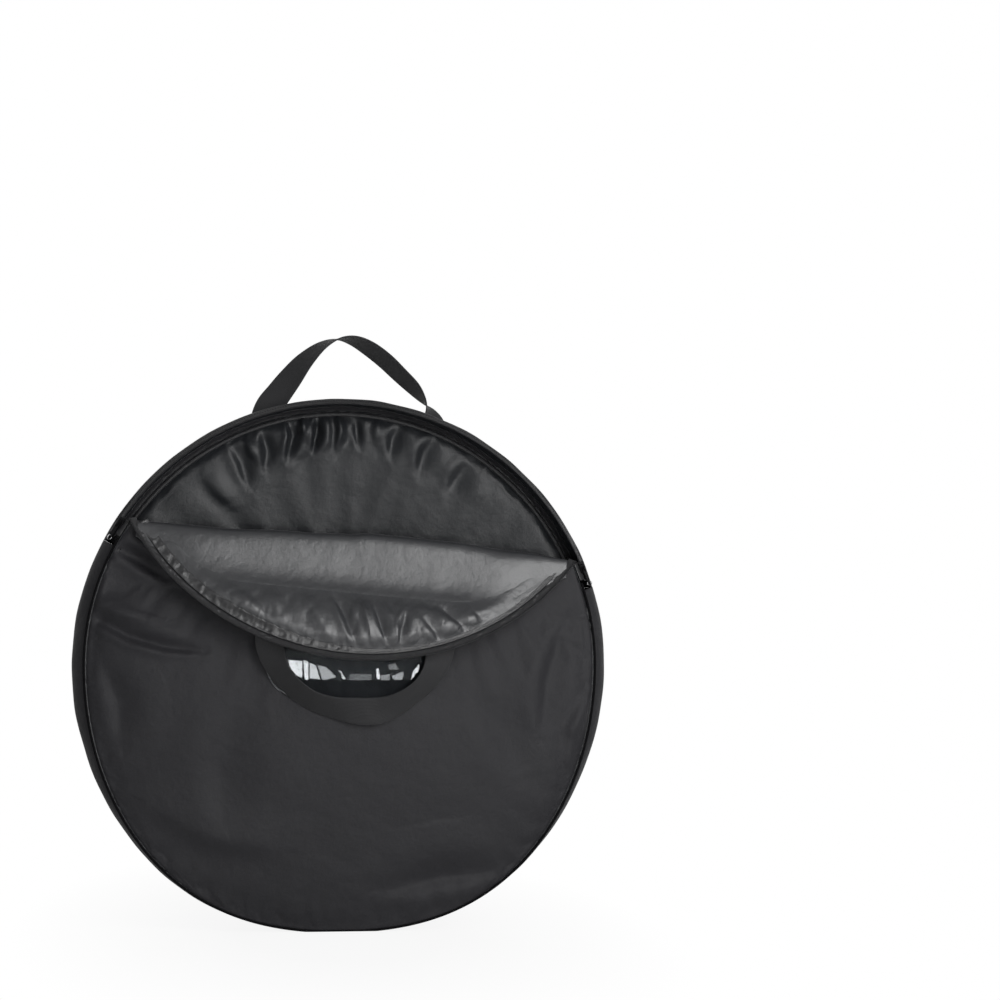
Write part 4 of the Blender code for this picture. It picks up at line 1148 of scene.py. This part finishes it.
# Shares of the half span and of the rise, the twist in degrees, and how far the middle stands off behind
backRoute = (
    (-1.0, 0.0, 0, 0.0), (-0.99, 0.14, -5, 0.08), (-0.94, 0.28, -17, 0.21), (-0.84, 0.41, -27, 0.32),
    (-0.72, 0.56, -36, 0.40), (-0.56, 0.75, -53, 0.44), (-0.37, 0.91, -71, 0.46), (-0.18, 0.99, -88, 0.46),
    (0.0, 0.985, -106, 0.46), (0.18, 0.92, -117, 0.46), (0.38, 0.805, -120, 0.46), (0.57, 0.665, -118, 0.48),
    (0.73, 0.545, -113, 0.50), (0.83, 0.45, -101, 0.51), (0.90, 0.37, -84, 0.51), (0.95, 0.29, -58, 0.46),
    (0.985, 0.18, -27, 0.32), (1.0, 0.0, 0, 0.0),
)
flapRoute = (
    (-1.0, 0.0, 0, 0.0), (-0.995, 0.18, 8, 0.0), (-0.975, 0.34, 20, 0.0), (-0.91, 0.51, 36, 0.0),
    (-0.80, 0.67, 45, 0.0), (-0.64, 0.81, 49, 0.0), (-0.43, 0.925, 49, 0.0), (-0.18, 0.985, 42, 0.0),
    (0.08, 1.0, 25, 0.0), (0.30, 0.985, 18, 0.0), (0.50, 0.915, 34, 0.0), (0.70, 0.775, 46, 0.0),
    (0.85, 0.62, 44, 0.0), (0.95, 0.44, 32, 0.0), (0.99, 0.26, 14, 0.0), (1.0, 0.0, 0, 0.0),
)


def routeAt(route, share):
    place = share * (len(route) - 1)
    number = min(int(place), len(route) - 2)
    t = place - number
    picked = [route[min(max(number + step, 0), len(route) - 1)] for step in (-1, 0, 1, 2)]
    values = []
    for a, b, c, d in zip(*picked):
        linear = 2 * b + (c - a) * t + (2 * a - 5 * b + 4 * c - d) * t * t
        values.append((linear + (3 * b - a - 3 * c + d) * t * t * t) / 2)
    return values


# The loop's rows in its own frame, each a place and the direction across the webbing
def strapRows(route, half, rise):
    rows = []
    for number in range(strap["loopRows"] + 1):
        share = number / strap["loopRows"]
        here = routeAt(route, share)
        before = routeAt(route, max(share - 0.004, 0.0))
        after = routeAt(route, min(share + 0.004, 1.0))
        step = Vector(((after[0] - before[0]) * half, 0.0, (after[1] - before[1]) * rise)).normalized()
        side = Vector((step.z, 0.0, -step.x))
        level = Vector((1.0 if side.x > 0 else -1.0, 0.0, 0.0))
        side = level.lerp(side, smooth(min(share, 1 - share) * (len(route) - 1) / 2 * 0.9)).normalized()
        twist = radians(here[2])
        side = side * cos(twist) + backwards * sin(twist)
        rows.append((Vector((here[0] * half, here[3] * strap["width"], here[1] * rise)), side))
    return rows


# Lofts the webbing: sewn end, loop, sewn end. LoopFrame is the loop's own, and patch gives places on the panel.
def buildStrap(name, route, handle, loopFrame, patch, nodes, blendFrom, blendTo):
    lift = Vector((0.0, handle["stand"], strap["endGap"]))
    count = strap["endRows"]
    placed = [patch(-1, (number - count) / count) for number in range(count)]
    for place, side in strapRows(route, handle["half"], handle["rise"]):
        placed.append((loopFrame @ (place + lift), loopFrame.to_3x3() @ side))
    placed += [patch(1, -number / count) for number in range(1, count + 1)]
    lengths = [0.0]
    for (a, _), (b, _) in zip(placed, placed[1:]):
        lengths.append(lengths[-1] + (b - a).length)
    last = len(placed) - 1
    bm = bmesh.new()
    cloth = bm.loops.layers.uv.new("cloth")
    bmesh.ops.create_grid(bm, x_segments=last, y_segments=strap["columns"] - 1, size=0.5)
    marks = {}
    for corner in bm.verts:
        row = round((corner.co.x + 0.5) * last)
        share = corner.co.y * 2
        marks[corner] = (lengths[row], (share + 1) / 2 * strap["width"])
        place, side = placed[row]
        cup = strap["cup"] * waver(row * 0.11, share * 1.5, 2.0)
        corner.co = place + side * (share * strap["width"] / 2) + Vector((0.0, cup, 0.0))
    for face in bm.faces:
        for loop in face.loops:
            loop[cloth].uv = marks[loop.vert]
    bmesh.ops.recalc_face_normals(bm, faces=bm.faces)
    piece = finishPiece(name, bm, ("webbing",), None, nodes, False)
    addShell(piece, strap["thickness"], 0.0)
    rounded = piece.modifiers.new("edges", "BEVEL")
    rounded.width = strap["bevel"]
    rounded.segments = 2
    rounded.limit_method = "ANGLE"
    rounded.angle_limit = radians(60)
    settle(piece)
    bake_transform(piece)


# A sewn box with a cross, on each end of a handle
def buildBoxStitch(name, tree, handle, turn, panel, outward, body):
    sideways, up = turn @ across, turn @ upwards
    width, tall = strap["width"] * 0.40, strap["sewn"] * 0.40
    corners = ((-width, -tall), (width, -tall), (width, tall), (-width, tall))
    lines = [(corners[number], corners[(number + 1) % 4]) for number in range(4)]
    lines += [(corners[0], corners[2]), (corners[1], corners[3])]
    bm = bmesh.new()
    for side in (-1, 1):
        middle = sideways * (handle["offset"] + side * handle["half"]) + up * (handle["reach"] - strap["sewn"] * 0.52)
        for (x0, z0), (x1, z1) in lines:
            count = int(hypot(x1 - x0, z1 - z0) / strap["stitchSpacing"])
            places = []
            for number in range(count + 1):
                share = number / count
                place = panel @ (middle + sideways * mix(x0, x1, share) + up * mix(z0, z1, share))
                places.append(landOn(tree, place + outward * 0.02, -outward, strap["stitchHeight"]))
            for here, there in zip(places, places[1:]):
                addStitch(bm, here, there, outward, strap["stitch"])
    finishPiece(name, bm, ("thread",), body, ())


def buildBackStrap():
    turn = Matrix.Rotation(pi / 2 - backHandle["angle"], 4, "Y")
    flat = turn.to_3x3()
    sideways, up = flat @ across, flat @ upwards
    tree = panelTree(panels["back"])
    hinge = centre + up * backHandle["reach"]

    def patch(side, share):
        place = centre + sideways * (side * backHandle["half"]) + up * (backHandle["reach"] + strap["sewn"] * share)
        place = landOn(tree, place + backwards * 0.03, -backwards, strap["height"])
        return place, sideways * (1 if side < 0 else -1)

    buildStrap(
        "backStrap", backRoute, backHandle, Matrix.Translation(hinge + backwards * backHandle["hingeDepth"]) @ turn,
        patch, ("back_strap", "back_strap_left_end", "back_strap_right_end"),
        hinge - up * 0.002, hinge + up * 0.012,
    )
    buildBoxStitch("backStrapStitches", tree, backHandle, flat, toWorld, backwards, "bag")


def buildFlapStrap():
    turn = Matrix.Rotation(pi / 2 - flapHandle["angle"], 4, "Y")
    flat = turn.to_3x3()
    sideways, up = flat @ across, flat @ upwards
    tree = panelTree(panels["flap"])
    outward = (flapRest.to_3x3() @ -backwards).normalized()
    hinge = Vector(flapHandle["hinge"])
    flapUp = (flapRest.to_3x3() @ up).normalized()

    def patch(side, share):
        place = sideways * (flapHandle["offset"] + side * flapHandle["half"])
        place = flapRest @ (place + up * (flapHandle["reach"] + strap["sewn"] * share) - backwards * 0.04)
        place = landOn(tree, place + outward * 0.02, -outward, strap["height"])
        return place, (flapRest.to_3x3() @ sideways) * (1 if side < 0 else -1)

    buildStrap(
        "flapStrap", flapRoute, flapHandle, Matrix.Translation(hinge) @ turn @ Matrix.Rotation(pi, 4, "X"),
        patch, ("flap_strap", "flap_strap_left_end", "flap_strap_right_end"),
        hinge - flapUp * 0.001, hinge + flapUp * 0.012,
    )
    buildBoxStitch("flapStrapStitches", tree, flapHandle, flat, flapRest, outward, "flap")


buildBackStrap()
buildFlapStrap()
print("straps made")


# Clear pocket window
window = {
    "middle": (0.009, 0.031), "width": 0.236, "height": 0.160, "corners": (3.4, 7.0), "gap": 0.0012, "sheet": 0.0004,
    "fill": 0.0020, "turn": 0.3515, "lean": radians(5.5), "pleat": 0.00010, "flatFrom": 0.430,
}
# Painted glints: where the film is made to mirror the lamps, in pixels of the front view, and how strongly. Elsewhere
# the painted reflection is kept faint.
paintedGlints = onPhoto(
    (1.0, (285, 658), (299.5, 659.5), (299.5, 675.5), (295, 674), (289, 668)),
    (1.0, (300.8, 658), (305.6, 660), (305.6, 678), (301.8, 677)),
    (0.75, (307, 661), (313, 664), (317, 677.5), (307, 676)),
    (0.45, (315, 664), (323, 665), (333, 675), (323, 678), (319, 677)),
    (0.9, (334.5, 668.5), (338, 669.5), (342.5, 677.5), (339.5, 677.5), (338, 671.5)),
    (0.16, (346, 672.5), (368, 672.5), (368, 679), (346, 679)),
    (1.0, (372.3, 667), (375, 667), (376.3, 677), (373.3, 677.5)),
    (0.30, (376.5, 674), (386, 672), (386, 679), (378, 679)),
    (0.24, (384, 664), (391, 662), (395, 668), (386, 668)),
    (0.42, (388, 674), (400, 670), (398, 678), (390, 679)),
    (1.0, (407, 678), (409, 670), (415, 663), (416, 668), (421, 671), (419, 678.5)),
    (1.0, (255, 660), (266, 662), (271, 671), (278, 681), (291, 696), (280, 702), (255, 690)),
    (1.0, (415.5, 699.5), (418, 694), (423, 692), (422.5, 698)),
    (0.35, (300, 600), (322, 592), (330, 640), (318, 650)), (0.25, (352, 588), (362, 588), (371, 650), (360, 650)),
    (0.30, (392, 596), (410, 600), (404, 648), (396, 640)),
)


# The painted glint's strength at a place: the strongest drawn patch that holds it
def paintedGlintAt(x, z):
    paintedGlint = 0.02
    for strength, *corners in paintedGlints:
        inside = False
        for (x0, z0), (x1, z1) in zip(corners, corners[1:] + corners[:1]):
            if (z0 > z) != (z1 > z) and x < x0 + (x1 - x0) * (z - z0) / (z1 - z0):
                inside = not inside
        if inside:
            paintedGlint = max(paintedGlint, strength)
    return paintedGlint


def filmStand(x, z):  # how far the film stands off its own plane, towards the front
    middle = smooth((x + 0.078) / 0.003) * smooth((0.107 - x) / 0.003)
    lean = tan(window["lean"]) * max(window["turn"] - z, 0.0) * middle
    return lean + window["pleat"] * waver(x * 210.0 + z * 50.0, z * 14.0, 5.0)


def buildWindow():
    tree = panelTree(panels["front"])
    bm = bmesh.new()
    paintedGlint = bm.loops.layers.uv.new("paintedGlint")
    bmesh.ops.create_grid(bm, x_segments=300, y_segments=200, size=1.0)
    middle = centre + across * window["middle"][0] + upwards * window["middle"][1]
    flat = {}
    for corner in bm.verts:
        x, y, _ = corner.co
        power = window["corners"][0 if x < 0 else 1]
        reach = max(abs(x), abs(y))
        squared = (abs(x / reach) ** power + abs(y / reach) ** power) ** (-1 / power) if reach else 1.0
        shift = Vector((x * squared * window["width"] / 2, 0.0, y * squared * window["height"] / 2))
        place = landOn(tree, middle + shift - backwards * 0.08, backwards, window["gap"])
        flat[corner.index] = (1.0 - max(abs(x), abs(y)), place)
    # The pocket holds a little air: its film hangs upright, leans out at the bottom and lies flat at the top
    front = min(place.y for _, place in flat.values() if place.z < window["flatFrom"]) - window["fill"]
    for corner in bm.verts:
        edge, place = flat[corner.index]
        blown = front - filmStand(place.x, place.z)
        room = smooth((edge - 0.006) / 0.05) * smooth((window["flatFrom"] - place.z) / 0.035)
        place.y = mix(place.y, blown, room)
        corner.co = place
    # Each corner carries its painted glint strength in the map
    for face in bm.faces:
        for loop in face.loops:
            loop[paintedGlint].uv = (paintedGlintAt(loop.vert.co.x, loop.vert.co.z), 0.0)
    faceOut(bm, lambda place: -backwards)
    piece = finishPiece("pocketWindow", bm, ("vinyl",), "bag", ("pocket_window",), False)
    addShell(piece, window["sheet"])


buildWindow()
print("window made")


# Finishes for the rigid pieces that stay as they are
for node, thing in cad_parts.items():
    key = None
    if "ring" in node:
        key = "plated"
    elif "slider" in node or "stop" in node:
        key = "blackMetal"
    if key:
        for slotNumber in range(len(thing.material_slots)):
            thing.material_slots[slotNumber].material = looks[key]


# Floor, light and camera
studio = {
    "floor": 9.0, "white": (1.0, 1.0, 1.0, 1.0), "fill": 0.25, "distance": 5.0, "yaw": radians(-4.0),
    "rise": radians(2.0), "frame": 1000, "sensor": 36.0,
}
# Name, place, aim, size and power
lamps = (
    ("keyLamp", (1.10, -2.1, 1.22), (0.0, 0.0, 0.45), (1.5, 1.75), 39.0),
    ("leftStrip", (-1.5, -2.8, 1.0), (0.0, 0.0, 0.35), (0.09, 1.2), 3.5),
    ("rightStrip", (1.3, -2.9, 1.0), (0.0, 0.0, 0.35), (0.08, 1.2), 3.0),
    ("lowLamp", (0.0, -2.6, 0.22), (0.0, 0.0, 0.20), (2.4, 0.25), 9.0),
    ("backLamp", (0.3, 2.6, 1.3), (0.0, 0.0, 0.4), (1.6, 1.2), 7.0),
)


def buildFloor():
    bm = bmesh.new()
    bmesh.ops.create_grid(bm, x_segments=2, y_segments=2, size=studio["floor"])
    bmesh.ops.translate(bm, vec=(0.0, 0.0, -0.0003), verts=bm.verts)
    mesh = bpy.data.meshes.new("floor")
    bm.to_mesh(mesh)
    bm.free()
    paper = Finish("floorPaper", {"Base Color": (0.86, 0.86, 0.86, 1.0), "Roughness": 0.9, "Specular IOR Level": 0.1})
    glow = paper.add("ShaderNodeEmission", {}, {"Color": studio["white"], "Strength": 1.0})
    seen = paper.add("ShaderNodeLightPath", {}, {}, "Is Camera Ray")
    x, y, _ = paper.axes(paper.place())
    away = paper.ranged(((x * x * 8.0) + (y * y)) ** 0.5, 0.4, 1.3, 0.89, 1.0)  # the shadow stays near the bag
    paper.output("Material Output", seen * away, Wire(paper, paper.shader.outputs[0]), glow)
    mesh.materials.append(paper.material)
    newObject("floor", mesh)


# The backdrop is white to the camera all round. In gloss and through clear film it stands behind the bag, and
# the camera's side of the room is dim.
def buildWorld():
    world = bpy.data.worlds.new("studio")
    bpy.context.scene.world = world
    world.use_nodes = True
    room = Nodes(world.node_tree)
    seen, glossy, through = [
        room.add("ShaderNodeLightPath", {}, {}, f"Is {kind} Ray") for kind in ("Camera", "Glossy", "Transmission")
    ]
    _, towards, high = room.axes(room.add("ShaderNodeTexCoord", wanted="Generated"))
    behind = room.ranged(towards, 0.0, 0.35)
    low = room.ranged(high, 0.15, 0.45, 1.0, 0.0)
    white = (seen + through + glossy * behind * low).clamped()
    dim, bright = [
        room.add("ShaderNodeBackground", {}, {"Color": studio["white"], "Strength": strength})
        for strength in (studio["fill"], 1.0)
    ]
    room.output("World Output", white, dim, bright)


def lookAt(thing, place, aim):
    thing.location = place
    thing.rotation_euler = (aim - place).to_track_quat("-Z", "Y").to_euler()


def addLamp(name, place, aim, size, power):
    data = bpy.data.lights.new(name, "AREA")
    data.shape = "RECTANGLE"
    data.size, data.size_y = size
    data.energy = power
    lookAt(newObject(name, data), Vector(place), Vector(aim))


def buildCamera():
    data = bpy.data.cameras.new("camera")
    camera = newObject("camera", data)
    data.sensor_width = studio["sensor"]
    data.lens = studio["sensor"] * studio["distance"] / (studio["frame"] * photo["pixel"])
    data.clip_end = 100.0
    yaw, rise = studio["yaw"], studio["rise"]
    away = Vector((sin(yaw) * cos(rise), -cos(yaw) * cos(rise), sin(rise)))
    right = (-away).cross(upwards).normalized()
    up = right.cross(-away)
    # The bag's middle lands at its own pixel of the frame
    x, y = [place - studio["frame"] / 2 for place in photo["middle"]]
    aim = centre - right * (x * photo["pixel"]) + up * (y * photo["pixel"])
    lookAt(camera, centre + away * studio["distance"], aim)
    bpy.context.scene.camera = camera


buildFloor()
buildWorld()
for lamp in lamps:
    addLamp(*lamp)
buildCamera()
bpy.context.scene.view_settings.view_transform = "Standard"
print("studio made")
